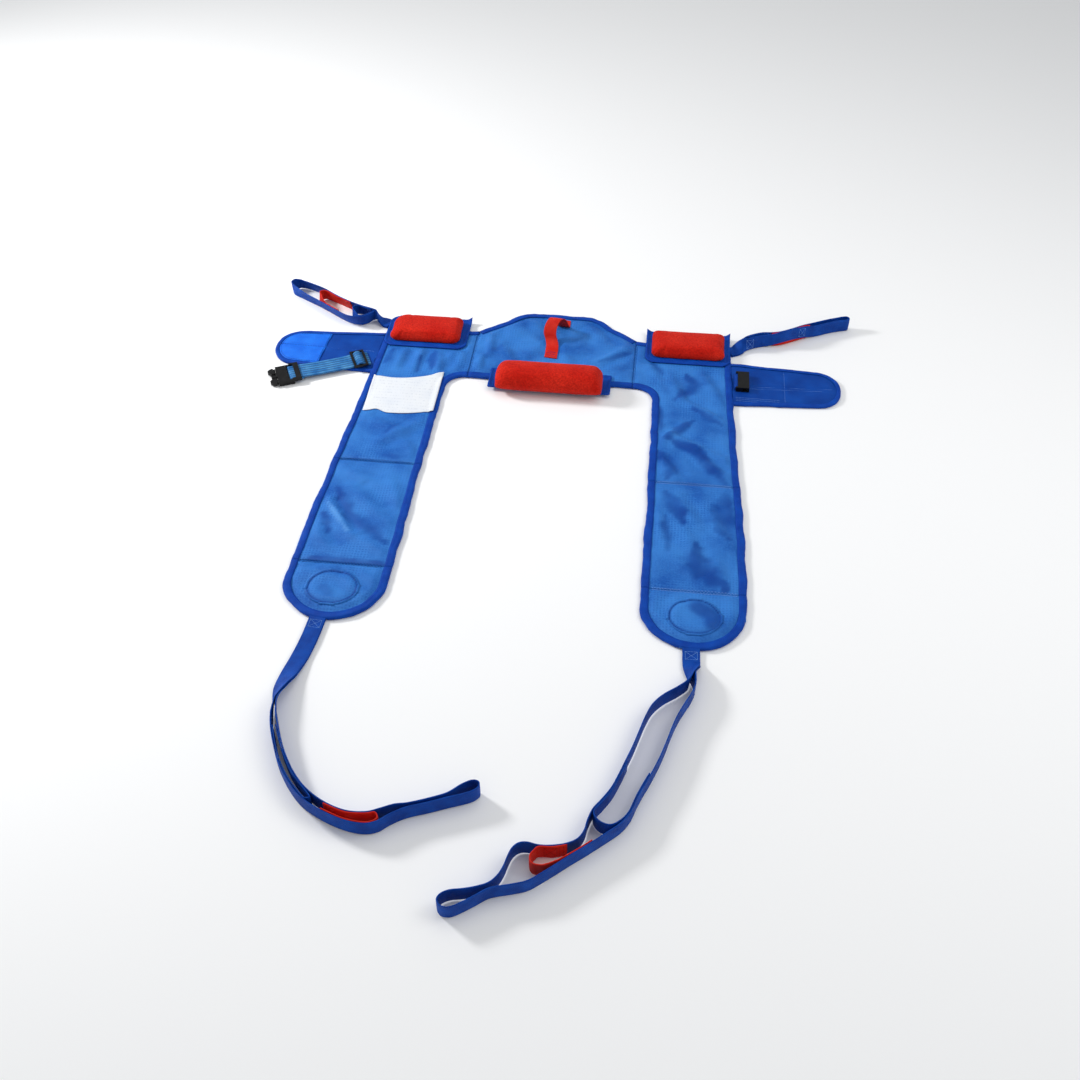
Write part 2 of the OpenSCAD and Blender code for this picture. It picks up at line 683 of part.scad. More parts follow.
belt_flap(-1);  // left_belt_flap
belt_binding(-1);  // left_belt_binding
left_hook_patch();
belt_flap(1);  // right_belt_flap
belt_binding(1);  // right_belt_binding
waist_strap();
strap_slider();
strap_end();
buckle_plug();
prong(-1);  // upper_prong
prong(1);  // lower_prong
buckle_socket();
socket_tab();
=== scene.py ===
import math

import bmesh
import bpy
import numpy as np
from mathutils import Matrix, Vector, noise
from mathutils.bvhtree import BVHTree


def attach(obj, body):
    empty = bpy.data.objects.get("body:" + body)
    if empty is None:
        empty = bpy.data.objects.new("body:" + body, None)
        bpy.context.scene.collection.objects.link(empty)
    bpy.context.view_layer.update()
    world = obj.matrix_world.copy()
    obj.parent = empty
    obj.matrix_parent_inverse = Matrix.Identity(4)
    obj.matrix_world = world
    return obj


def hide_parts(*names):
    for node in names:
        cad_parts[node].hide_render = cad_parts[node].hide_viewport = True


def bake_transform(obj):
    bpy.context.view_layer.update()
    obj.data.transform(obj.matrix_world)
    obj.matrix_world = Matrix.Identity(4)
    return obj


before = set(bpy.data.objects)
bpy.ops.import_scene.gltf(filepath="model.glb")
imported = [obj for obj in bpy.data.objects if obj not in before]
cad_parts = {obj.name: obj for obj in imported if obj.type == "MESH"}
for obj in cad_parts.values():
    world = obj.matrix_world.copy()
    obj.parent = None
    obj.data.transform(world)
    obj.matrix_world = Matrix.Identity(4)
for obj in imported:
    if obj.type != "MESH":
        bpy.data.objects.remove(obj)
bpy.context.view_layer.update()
MM = 0.001
UP = (0, 0, 1)

# ---------------------------------------------------------------- numbers shared with the CAD source, in mm
SEAM_X, BACK_DROP, CROWN_Y = 190, 112, 158
FOLD_Y, TIP_LINE_Y = -430, -737
TIP_C, TIP_R, CROTCH_R = (343, -780), 101, 42
FAR = 3000  # past the object on every side: no limit


def arc(c, rx, ry, a0, a1, n):
    a = np.radians(np.linspace(a0, a1, n + 1))
    return [(c[0] + rx * math.cos(t), c[1] + ry * math.sin(t)) for t in a]


def mirrored(pts):
    return [(-x, y) for x, y in reversed(pts)]


CROWN = [(SEAM_X + 40, 68), (SEAM_X, 68), (160, 92), (128, 116), (100, 144), (78, 155)]
BACK = [(-SEAM_X - 40, -BACK_DROP), (SEAM_X + 40, -BACK_DROP)] + CROWN + [(0, CROWN_Y)] + mirrored(CROWN)
LEG = (
    [(SEAM_X - 40, -BACK_DROP)]
    + arc((SEAM_X + 5, -BACK_DROP - CROTCH_R), CROTCH_R, CROTCH_R, 90, 0, 12)
    + [(240, -430)]
    + arc(TIP_C, TIP_R, TIP_R, 180, 360, 24)
    + [(440, -600), (434, -450), (425, -300), (417, -120), (413, 10), (411, 76), (398, 90), (226, 84)]
    + [(214, 64), (SEAM_X, 68), (SEAM_X - 40, 68)]
)
FLAP = [(-40, -80)] + arc((188, 0), 55, 65, -90, 90, 16) + [(-40, 80)]
FLAP_X, FLAP_Y = 419, {-1: -41, 1: -72}


# ---------------------------------------------------------------- small geometry tools
def unit(v):
    v = np.asarray(v, float)
    return v / max(np.linalg.norm(v), 1e-12)


def wobble(x, y, size, seed=0.0):
    """Smooth noise from -1 to 1 with features of that size."""
    return noise.noise(Vector((x / size, y / size, seed)))


def wobbles(pts, size, seed=0.0):
    return np.array([wobble(p[0], p[1], size, seed) for p in pts])


def bell(x, middle, width):
    """1 at the middle, falling smoothly to 0 on both sides."""
    return np.exp(-(((x - middle) / width) ** 2))


def eased(t):
    """0 to 1 with a soft start and end."""
    return t * t * (3 - 2 * t)


def lengths(line):
    """How far along a line each of its points is."""
    return np.concatenate([[0], np.cumsum(np.linalg.norm(np.diff(line, axis=0), axis=1))])


def read(s, at, values):
    """Three columns of values, read off at the length s."""
    return np.array([np.interp(s, at, values[:, k]) for k in range(3)])


def cells(rows, count, closed=False):
    """Quads between neighbouring rows of points; closed joins each row's end to its start."""
    return [
        (i * count + j, i * count + (j + 1) % count, (i + 1) * count + (j + 1) % count, (i + 1) * count + j)
        for i in range(rows - 1)
        for j in range(count if closed else count - 1)
    ]


def tube(rows, count):
    """Faces of a stack of rings, with both ends closed."""
    caps = [tuple(range(count - 1, -1, -1)), tuple(range((rows - 1) * count, rows * count))]
    return cells(rows, count, closed=True) + caps


def inset(poly, d):
    p = np.asarray(poly, float)
    a = p - np.roll(p, 1, 0)
    b = np.roll(p, -1, 0) - p
    a /= np.linalg.norm(a, axis=1)[:, None]
    b /= np.linalg.norm(b, axis=1)[:, None]
    na, nb = np.stack([-a[:, 1], a[:, 0]], 1), np.stack([-b[:, 1], b[:, 0]], 1)
    return p + d * (na + nb) / (1 + (na * nb).sum(1))[:, None]


def dense(poly, step, closed=True):
    p = np.asarray(poly, float)
    q = np.vstack([p, p[:1]]) if closed else p
    out = []
    for a, b in zip(q[:-1], q[1:]):
        n = max(1, int(np.linalg.norm(b - a) / step))
        out += [a + (b - a) * k / n for k in range(n)]
    if not closed:
        out.append(q[-1])
    return np.array(out)


def inside(poly, pts):
    p = np.asarray(poly, float)
    hit = np.zeros(len(pts), bool)
    for (x0, y0), (x1, y1) in zip(p, np.roll(p, -1, 0)):
        if y0 != y1:
            cross = (y0 > pts[:, 1]) != (y1 > pts[:, 1])
            hit ^= cross & (pts[:, 0] < (x1 - x0) * (pts[:, 1] - y0) / (y1 - y0) + x0)
    return hit


def nearest(points, line):
    """Nearest of the line's points to each point: (distance, that point)."""
    best, at = np.full(len(points), 1e9), np.zeros((len(points), 2))
    for k in range(0, len(line), 200):
        part = line[k : k + 200]
        d = np.linalg.norm(points[:, None, :2] - part[None], axis=2)
        i = d.argmin(1)
        m = d[np.arange(len(points)), i]
        better = m < best
        best[better], at[better] = m[better], part[i[better]]
    return best, at


def smooth_line(p, times=2):
    p = np.array(p, float)
    for _ in range(times):
        p[1:-1] = 0.25 * p[:-2] + 0.5 * p[1:-1] + 0.25 * p[2:]
    return p


def mesh(name, verts, faces, scale):
    me = bpy.data.meshes.new(name)
    me.from_pydata((np.asarray(verts, float) * scale).tolist(), [], [[int(i) for i in f] for f in faces])
    return me


def show(name, data):
    ob = bpy.data.objects.new(name, data)
    bpy.context.scene.collection.objects.link(ob)
    return ob


def make(name, verts, faces, mats, face_mat=None, uv=None):
    """A new mesh object from points in millimetres."""
    me = mesh(name, verts, faces, MM)
    for m in mats:
        me.materials.append(m)
    if face_mat is not None:
        me.polygons.foreach_set("material_index", np.asarray(face_mat, np.int32))
    me.polygons.foreach_set("use_smooth", [True] * len(me.polygons))
    uv = np.asarray(verts, float)[:, :2] if uv is None else np.asarray(uv, float)
    loops = np.zeros(len(me.loops), np.int32)
    me.loops.foreach_get("vertex_index", loops)
    me.uv_layers.new(name="cloth").data.foreach_set("uv", (uv[loops] * MM).astype(np.float32).ravel())
    me.update()
    return show(name, me)


class Build:
    """Points, faces, cloth coordinates and materials of one piece while it is put together."""

    def __init__(self):
        self.v, self.f, self.m, self.uv = [], [], [], []

    def add(self, v, f, mat=0, uv=None):
        n = sum(len(x) for x in self.v)
        v = np.asarray(v, float)
        self.v.append(v)
        self.uv.append(v[:, :2] if uv is None else np.asarray(uv, float))
        self.f += [tuple(int(i) + n for i in q) for q in f]
        self.m += [mat] * len(f)
        return self

    def done(self, name, mats):
        return make(name, np.vstack(self.v), self.f, mats, self.m, np.vstack(self.uv))


def grid(poly, cell, lo=(-FAR, -FAR), hi=(FAR, FAR)):
    """Square cells that fill a polygon between two corners: (points, quads). Its edge follows the polygon."""
    p = np.asarray(poly, float)
    lo, hi = np.maximum(lo, p.min(0)), np.minimum(hi, p.max(0))
    nx, ny = (max(2, int(round(s / cell))) for s in hi - lo)
    xs, ys = np.linspace(lo[0], hi[0], nx + 1), np.linspace(lo[1], hi[1], ny + 1)
    cx, cy = np.meshgrid((xs[1:] + xs[:-1]) / 2, (ys[1:] + ys[:-1]) / 2)
    keep = inside(poly, np.stack([cx.ravel(), cy.ravel()], 1))
    gx, gy = np.meshgrid(xs, ys)
    used, inv = np.unique(np.array(cells(ny + 1, nx + 1))[keep].ravel(), return_inverse=True)
    pts, quads = np.stack([gx.ravel(), gy.ravel()], 1)[used], inv.reshape(-1, 4)
    count = np.bincount(quads.ravel(), minlength=len(pts))
    on_limit = ((abs(pts - lo) < 1e-6) | (abs(pts - hi) < 1e-6)).any(1)
    edge = np.flatnonzero((count < 4) & ~on_limit)
    far, at = nearest(pts[edge], dense(poly, 1.5))
    near = far < cell * 0.95
    pts[edge[near]] = at[near]
    return pts, quads


def rim_of(quads):
    """The directed edges that only one quad uses."""
    seen = {}
    for q in quads:
        for a, b in zip(q, np.roll(q, -1)):
            seen[(int(a), int(b))] = True
    return [(a, b) for a, b in seen if (b, a) not in seen]


def slab(pts, quads, top, bottom):
    """A closed sheet from a grid and the heights of its two faces."""
    n = len(pts)
    v = np.vstack([np.column_stack([pts, top]), np.column_stack([pts, bottom])])
    f = [tuple(q) for q in quads] + [tuple(q[::-1] + n) for q in quads]
    f += [(b, a, a + n, b + n) for a, b in rim_of(quads)]
    return v, f


def sweep(line, frames, profile):
    """A closed tube: profile points (a, b) go to line + a * frames[0] + b * frames[1] at each place."""
    line, k = np.asarray(line, float), len(profile[0])
    v = [c + np.outer(p[:, 0], a) + np.outer(p[:, 1], b) for c, (a, b), p in zip(line, frames, profile)]
    uv = np.stack([np.repeat(lengths(line), k), np.tile(lengths(profile[0]), len(line))], 1)
    return np.concatenate(v), tube(len(line), k), uv


# Kinds of stitch: the distance from one to the next, then a stitch's length, width and height
BINDING_STITCH = (3.6, 2.5, 0.75, 0.55)
SEAM_STITCH = (4.4, 3.9, 1.5, 0.7)
BACKING_STITCH = (3.4, 2.4, 0.7, 0.5)
PATCH_STITCH = (4.4, 3.0, 1.3, 1.2)
BOX_STITCH = (2.8, 2.4, 1.2, 0.6)
BAR_STITCH = (2.2, 1.7, 0.9, 0.5)
HANDLE_ZIGZAG = (3.0, 2.6, 1.4, 0.6)
HANDLE_STITCH = (2.4, 1.9, 0.8, 0.5)
FLAP_STITCH = (3.4, 2.6, 1.0, 0.5)
HOOK_STITCH = (4.0, 3.2, 1.3, 0.7)
HEM_STITCH = (2.6, 2.0, 0.8, 0.5)


def stitches(path, up, kind):
    """Thread on a surface, one small lozenge for each stitch. up is one direction, or one for each point."""
    pitch, long, wide, high = kind
    path = np.asarray(path, float)
    along = lengths(path)
    up = np.broadcast_to(np.asarray(up, float), path.shape)
    v, f = [], []
    for n, s in enumerate(np.arange(pitch / 2, along[-1], pitch)):
        c, w = read(s, along, path), unit(read(s, along, up))
        t = unit(read(s + 0.5, along, path) - c + 1e-9)
        side = unit(np.cross(w, t))
        v += [c - t * long / 2, c + side * wide / 2, c + t * long / 2, c - side * wide / 2]
        v += [c + w * high, c - w * 0.3]
        k = 6 * n
        for a, b in ((0, 3), (3, 2), (2, 1), (1, 0)):
            f += [(k + a, k + b, k + 4), (k + b, k + a, k + 5)]
    return np.array(v), f


# ---------------------------------------------------------------- materials
class Nodes:
    """A material's node tree, with short calls to add to it."""

    def __init__(self, name):
        self.mat = bpy.data.materials.new(name)
        self.mat.use_nodes = True
        self.t = self.mat.node_tree
        self.inputs = self.t.nodes["Principled BSDF"].inputs

    def put(self, value, socket):
        """Gives an input a plain value, or links it to another node's output."""
        if isinstance(value, bpy.types.NodeSocket):
            self.t.links.new(value, socket)
        else:
            socket.default_value = value

    def node(self, kind, inputs=(), **values):
        n = self.t.nodes.new(kind)
        for k, v in values.items():
            setattr(n, k, v)
        for k, v in dict(inputs).items():
            self.put(v, n.inputs[k])
        return n

    def cloth(self):
        """The cloth coordinates, and their two parts."""
        uv = self.node("ShaderNodeUVMap", uv_map="cloth").outputs[0]
        n = self.node("ShaderNodeSeparateXYZ", {"Vector": uv})
        return uv, n.outputs[0], n.outputs[1]

    def place(self):
        return self.node("ShaderNodeTexCoord").outputs["Object"]

    def math(self, op, *values):
        return self.node("ShaderNodeMath", enumerate(values), operation=op).outputs[0]

    def mul(self, a, b):
        return self.math("MULTIPLY", a, b)

    def add(self, a, b):
        return self.math("ADD", a, b)

    def less(self, a):
        return self.math("SUBTRACT", 1.0, a)

    def noise(self, vector, scale, detail=3.0, rough=0.5):
        inputs = {"Vector": vector, "Scale": scale, "Detail": detail, "Roughness": rough}
        return self.node("ShaderNodeTexNoise", inputs).outputs["Fac"]

    def ribs(self, x, pitch, phase=0.0):
        """0 to 1 and back, once every pitch metres."""
        s = self.math("SINE", self.math("MULTIPLY_ADD", x, 2 * math.pi / pitch, phase))
        return self.math("MULTIPLY_ADD", s, 0.5, 0.5)

    def mix(self, fac, a, b):
        return self.node("ShaderNodeMix", {0: fac, 6: a, 7: b}, data_type="RGBA").outputs[2]

    def ramp(self, fac, lo, hi):
        """0 at lo and before it, 1 at hi and past it."""
        return self.node("ShaderNodeMapRange", {"Value": fac, "From Min": lo, "From Max": hi}).outputs[0]

    def finish(self, color, rough, height, dist, strength, spec, sheen=0.0, sheen_rough=0.4):
        bump = self.node("ShaderNodeBump", {"Height": height, "Distance": dist, "Strength": strength})
        self.put(color, self.inputs["Base Color"])
        self.put(rough, self.inputs["Roughness"])
        self.put(spec, self.inputs["Specular IOR Level"])
        self.put(sheen, self.inputs["Sheen Weight"])
        self.put(sheen_rough, self.inputs["Sheen Roughness"])
        self.put(bump.outputs[0], self.inputs["Normal"])
        return self.mat


def srgb(r, g, b):
    """A colour from 0-255 values as seen, to the linear values that shaders use."""
    seen = (r / 255, g / 255, b / 255)
    return tuple(c / 12.92 if c <= 0.04045 else ((c + 0.055) / 1.055) ** 2.4 for c in seen) + (1.0,)


def tones(*colors):
    return [srgb(*c) for c in colors]


def woven(name, base, dark, light, pitch, rough, blotch, bump, spec, painted_highlight=None):
    """Plain weave with slow colour variation. With a painted highlight colour, the mesh's shade values paint
    shade and highlight on it, and a painted sheen on its coarse pattern.
    """
    n = Nodes(name)
    uv, x, y = n.cloth()
    checks = n.mul(n.ribs(x, 2 * pitch), n.ribs(y, 2 * pitch, 0.8))
    cloth = n.math("MAXIMUM", n.ribs(x, pitch), n.ribs(y, pitch, 1.1))
    color = n.mix(n.ramp(n.noise(uv, 1 / blotch, 4.0), 0.32, 0.68), base, light)
    color = n.mix(n.mul(n.less(cloth), 0.75), color, dark)
    color = n.mix(n.mul(n.ramp(n.noise(uv, 900, 2.0), 0.45, 0.75), 0.25), color, light)
    # Painted light: the dark tone where folds turn from the light, the highlight tone where they face it, and
    # a painted sheen of the light tone on the coarse mesh pattern and specks outside the painted shade
    if painted_highlight:
        shade = n.node("ShaderNodeAttribute", attribute_name="shade").outputs["Fac"]
        bent = n.mul(n.noise(uv, 60, 2.0), 0.004)
        coarse = n.math("MAXIMUM", *(n.ribs(n.add(a, bent), 5.4 * pitch) for a in (x, y)))
        patch = n.ramp(n.noise(uv, 11, 3.0), 0.42, 0.6)
        speck = n.mul(n.ramp(n.noise(uv, 280, 2.0), 0.42, 0.68), 0.4)
        lit = n.mul(n.ramp(shade, 0.6, 0.0), n.math("MULTIPLY_ADD", n.mul(coarse, patch), 0.75, speck))
        for fac, tone in ((lit, light), (n.ramp(shade, 0.0, 1.0), dark), (n.ramp(shade, 0.0, -1.0), painted_highlight)):
            color = n.mix(n.mul(fac, 0.8), color, tone)
    return n.finish(color, rough, n.add(cloth, n.mul(checks, 0.5)), pitch * 0.28, bump, spec)


def webbing(name, base, dark, light, pitch, rough=0.55, cords=0.0):
    """Narrow woven tape: tight ribs across in a herringbone. cords is the pitch of broad cords along it."""
    n = Nodes(name)
    uv, x, y = n.cloth()
    rib = n.ribs(n.add(x, n.mul(n.math("PINGPONG", y, 0.004), 0.6)), pitch)
    height = n.add(rib, n.mul(n.ribs(y, 0.0012), 0.45))
    color = n.mix(n.ramp(n.noise(uv, 35, 3.0), 0.35, 0.7), base, light)
    color = n.mix(n.mul(n.less(rib), 0.55), color, dark)
    if cords:
        cord = n.ribs(y, cords)
        height = n.add(height, n.mul(cord, 1.2))
        color = n.mix(n.mul(n.less(cord), 0.75), color, dark)
    return n.finish(color, rough, height, pitch * 0.22, 0.7, 0.12)


def fleece(name, base, dark, light):
    """Brushed pile: soft clumps of fibre."""
    n = Nodes(name)
    p = n.place()
    clump, fibre = n.noise(p, 260, 4.0, 0.65), n.noise(p, 1500, 3.0, 0.7)
    color = n.mix(n.ramp(n.noise(p, 22, 3.0), 0.35, 0.7), base, light)
    color = n.mix(n.mul(n.ramp(clump, 0.62, 0.35), 0.55), color, dark)
    color = n.mix(n.mul(n.ramp(fibre, 0.5, 0.8), 0.3), color, light)
    return n.finish(color, 0.95, n.add(clump, n.mul(fibre, 0.5)), 0.0014, 0.6, 0.05, 0.05, 0.5)


def hooks(name, base, dark, light):
    """Hook tape: rows of tiny hooks in a stiff glossy ground."""
    n = Nodes(name)
    uv, x, y = n.cloth()
    dots = n.mul(n.ribs(x, 0.0018), n.ribs(y, 0.0018))
    color = n.mix(n.ramp(n.noise(uv, 30, 3.0), 0.3, 0.7), base, light)
    color = n.mix(n.mul(n.ramp(dots, 0.5, 0.1), 0.35), color, dark)
    return n.finish(color, 0.5, dots, 0.0006, 0.7, 0.15)


def plastic(name, base, light):
    """Moulded plastic with a fine spark-eroded grain."""
    n = Nodes(name)
    p = n.place()
    wear = n.ramp(n.noise(p, 90, 4.0), 0.45, 0.75)
    rough, grain = n.math("MULTIPLY_ADD", wear, 0.2, 0.32), n.noise(p, 900, 3.0, 0.6)
    return n.finish(n.mix(n.mul(wear, 0.5), base, light), rough, grain, 0.0003, 0.35, 0.22)


def label_cloth(name, white, ink, stain, row=0.0105):
    """White woven label with rows of faint generic marks, no lettering."""
    n = Nodes(name)
    uv, x, y = n.cloth()
    at = n.node("ShaderNodeCombineXYZ", {0: n.mul(x, 300.0), 1: n.mul(n.math("SNAP", y, row), 900.0)})
    marks = n.ramp(n.noise(at.outputs[0], 1.0, 2.0), 0.5, 0.62)
    color = n.mix(n.mul(n.mul(n.ramp(n.ribs(y, row), 0.62, 0.78), marks), 0.16), white, ink)
    color = n.mix(n.mul(n.ramp(n.noise(uv, 25, 3.0), 0.4, 0.7), 0.2), color, stain)
    return n.finish(color, 0.6, n.add(n.ribs(x, 0.0007), n.ribs(y, 0.0007)), 0.0001, 0.4, 0.3, 0.1)


def thread(name, base, dark):
    n = Nodes(name)
    f = n.noise(n.place(), 1200, 2.0)
    return n.finish(n.mix(f, base, dark), 0.6, f, 0.0002, 0.5, 0.15)


# The mesh cover's shine colour is a painted highlight, used with its painted shade values
MESH = woven(
    "mesh_cover", *tones((10, 82, 172), (0, 56, 142), (58, 132, 214)),
    pitch=0.0012, rough=0.45, blotch=0.075, bump=0.7, spec=0.12, painted_highlight=srgb(104, 170, 236),
)
LINING = woven(
    "lining", *tones((20, 62, 148), (8, 34, 98), (32, 82, 172)),
    pitch=0.0007, rough=0.6, blotch=0.08, bump=0.5, spec=0.15,
)
BELT = woven(
    "belt_cloth", *tones((0, 58, 146), (0, 38, 108), (8, 76, 172)),
    pitch=0.0009, rough=0.6, blotch=0.05, bump=0.5, spec=0.12,
)
TAPE = webbing("binding_tape", *tones((0, 64, 166), (0, 40, 118), (4, 82, 192)), pitch=0.0018)
WEB = webbing("strap_webbing", *tones((0, 62, 156), (0, 34, 104), (10, 86, 192)), pitch=0.0017)
WEB_RED = webbing("red_webbing", *tones((220, 34, 20), (150, 10, 5), (240, 60, 42)), pitch=0.0019)
WAIST_TONES = tones((44, 126, 200), (2, 40, 92), (104, 186, 246))
WAIST = webbing("waist_webbing", *WAIST_TONES, pitch=0.0022, rough=0.45, cords=0.0083)
FLEECE = fleece("red_fleece", *tones((200, 30, 18), (128, 8, 4), (222, 46, 30)))
HOOK = hooks("hook_tape", *tones((6, 102, 224), (0, 66, 178), (30, 128, 246)))
LABEL = label_cloth("care_label", *tones((226, 229, 233), (110, 125, 155), (190, 202, 225)))
PLASTIC = plastic("black_plastic", *tones((10, 10, 12), (26, 26, 28)))
THREAD = thread("thread_blue", *tones((36, 100, 208), (10, 60, 160)))
THREAD_PALE = thread("thread_pale", *tones((150, 192, 248), (104, 156, 234)))
THREAD_DARK = thread("thread_dark", *tones((8, 50, 130), (2, 30, 90)))
THREAD_RED = thread("thread_red", *tones((170, 20, 16), (120, 10, 10)))


# ---------------------------------------------------------------- camera, light and floor
CAMERA_AT, CAMERA_TILT, CAMERA_TURN = (0.2275, -2.342, 1.700), 45.5, 6.4
LENS, SENSOR = 40.5, 36
FLOOR_HALF, FLOOR_Z = 9, -0.0005
SKY, SKY_STRENGTH = (0.96, 0.98, 1.0, 1), 0.52
# Each light's name, place, power and size; all look at one place
LIGHTS = (
    ("key", (-2.5, 0.3, 1.5), 66, 0.5),
    ("fill", (1.9, -0.7, 2.0), 16, 1.4),
    ("top", (0.3, 0.4, 3.0), 12, 2.0),
)
LIGHTS_AIM = (0.0, -0.4, 0)


def studio():
    scene = bpy.context.scene
    cam = show("camera", bpy.data.cameras.new("camera"))
    cam.data.lens, cam.data.sensor_width = LENS, SENSOR
    cam.location = CAMERA_AT
    cam.rotation_euler = (math.radians(CAMERA_TILT), 0, math.radians(CAMERA_TURN))
    scene.camera = cam
    scene.view_settings.view_transform = "Standard"
    corners = [(x * FLOOR_HALF, y * FLOOR_HALF, FLOOR_Z) for x, y in ((-1, -1), (1, -1), (1, 1), (-1, 1))]
    floor = show("floor", mesh("floor", corners, [(0, 1, 2, 3)], 1))
    paper = Nodes("floor_paper")
    paper.put((0.93, 0.93, 0.93, 1), paper.inputs["Base Color"])
    paper.put(0.9, paper.inputs["Roughness"])
    floor.data.materials.append(paper.mat)
    world = bpy.data.worlds.new("studio")
    world.use_nodes = True
    sky = world.node_tree.nodes["Background"].inputs
    sky[0].default_value, sky[1].default_value = SKY, SKY_STRENGTH
    scene.world = world
    for name, place, power, size in LIGHTS:
        light = bpy.data.lights.new(name, "AREA")
        light.energy, light.size = power, size
        ob = show(name, light)
        ob.location = place
        ob.rotation_euler = (Vector(LIGHTS_AIM) - Vector(place)).to_track_quat("-Z", "Y").to_euler()


studio()

# ---------------------------------------------------------------- simulation
SIM_SCALE = 10  # simulated at ten times life size, where the cloth solver is steady
SIM_FRAMES = 22
sims = {}


def simulate(name, verts, faces, pin, cap, bend, grow=0.0, pressure=0.0):
    """Adds a cloth to the one simulation. cap is how far a point may move, and grow how much it spreads."""
    ob = show("sim_" + name, mesh("sim_" + name, verts, faces, MM * SIM_SCALE))
    mod = ob.modifiers.new("cloth", "CLOTH")
    st = mod.settings
    st.quality, st.mass, st.air_damping = 4, 0.3, 3.0
    st.tension_stiffness = st.compression_stiffness = 25
    st.shear_stiffness, st.bending_stiffness = 8, bend
    st.effector_weights.gravity = 0.0
    group = ob.vertex_groups.new(name="pin")
    group.add([int(i) for i in np.flatnonzero(pin)], 1.0, "REPLACE")
    st.vertex_group_mass = "pin"
    st.shrink_min = -grow
    if pressure:
        st.use_pressure, st.uniform_pressure_force = True, pressure
    mod.collision_settings.use_collision = False
    sims[name] = {"ob": ob, "start": np.asarray(verts, float), "cap": cap}


def run_simulation():
    scene = bpy.context.scene
    for f in range(1, SIM_FRAMES + 1):
        scene.frame_set(f)
    graph = bpy.context.evaluated_depsgraph_get()
    for s in sims.values():
        s["end"] = s["start"]
        me = s["ob"].evaluated_get(graph).to_mesh()
        co = np.zeros(len(me.vertices) * 3, np.float32)
        me.vertices.foreach_get("co", co)
        d = co.reshape(-1, 3).astype(float) / (MM * SIM_SCALE) - s["start"]
        far = np.linalg.norm(d, axis=1)
        s["end"] = s["start"] + d * np.minimum(1, s["cap"] / np.maximum(far, 1e-9))[:, None]
    for s in sims.values():
        bpy.data.objects.remove(s["ob"])
    scene.frame_set(1)


def settled(name):
    return sims[name]["end"].copy()


def remeshed(verts, faces, voxel):
    """The shape rebuilt with even quads, as points in mm and faces."""
    ob = make("remesh", verts, faces, [])
    mod = ob.modifiers.new("remesh", "REMESH")
    mod.mode, mod.voxel_size = "VOXEL", voxel * MM
    graph = bpy.context.evaluated_depsgraph_get()
    me = ob.evaluated_get(graph).to_mesh()
    v = np.array([tuple(x.co) for x in me.vertices]) / MM
    f = [tuple(p.vertices) for p in me.polygons]
    bpy.data.objects.remove(ob)
    return v, f


# ---------------------------------------------------------------- panels: covers, linings and bindings
# Folds in the cover, given in steps of 10 mm, near where the photo shows them:
# (x0, y0, x1, y1, half width, height)
FOLDS = {
    "right_side": [
        (260, -300, 310, -240, 11, 5.0), (340, -40, 390, -150, 13, 4.0), (300, -150, 400, -220, 10, 4.5),
        (270, -270, 400, -350, 13, 5.5), (330, -330, 400, -400, 12, 4.5), (230, -170, 250, -280, 12, 4.0),
        (260, -350, 300, -420, 12, 4.0), (270, -60, 300, -140, 13, 3.5), (210, 0, 250, -90, 12, 3.0),
    ],
    "left_side": [
        (-350, -20, -360, -100, 9, 4.0), (-310, -10, -320, -110, 9, 4.5), (-270, -30, -260, -110, 10, 4.0),
        (-230, -10, -260, -80, 12, 3.5), (-210, 40, -220, -90, 12, 4.0), (-390, -290, -300, -330, 14, 3.5),
        (-270, -290, -350, -370, 13, 3.5), (-300, -350, -260, -400, 12, 2.5),
    ],
    "right_leg": [
        (300, -470, 350, -560, 14, 4.5), (260, -520, 280, -620, 12, 3.5), (320, -570, 350, -670, 14, 4.0),
        (360, -500, 400, -600, 15, 3.5), (300, -650, 350, -710, 14, 3.0), (380, -640, 400, -710, 13, 2.5),
    ],
    "left_leg": [
        (-410, -560, -340, -660, 9, 5.5), (-370, -520, -280, -610, 16, 3.5),
        (-300, -480, -260, -560, 14, 3.0), (-420, -640, -380, -700, 13, 3.0),
        (-330, -660, -260, -700, 14, 2.5), (-400, -460, -330, -500, 15, 3.0),
    ],
    "back": [
        (180, 40, 100, -30, 12, 3.5), (150, -60, 90, -20, 14, 2.5), (-160, 50, -150, -20, 11, 3.5),
        (-130, 20, -100, -40, 14, 2.5), (-60, 110, -20, 60, 16, 2.0), (60, 120, 110, 60, 16, 2.0),
        (-170, -30, -170, -90, 8, 3.5),
    ],
    "right_tip": [(320, -750, 380, -760, 12, 2.0)],
    "left_tip": [(-400, -760, -330, -750, 12, 2.0)],
}
COVER_Z, COVER_LOW, COVER_UNDER = 6.2, 5.2, 4.7  # the cover's height, the least it may be, and its underside
LINING_TOP, LINING_UNDER, LINING_EDGE = 4.5, 1.55, 1.4
FOLD_DEPTH = 1.25
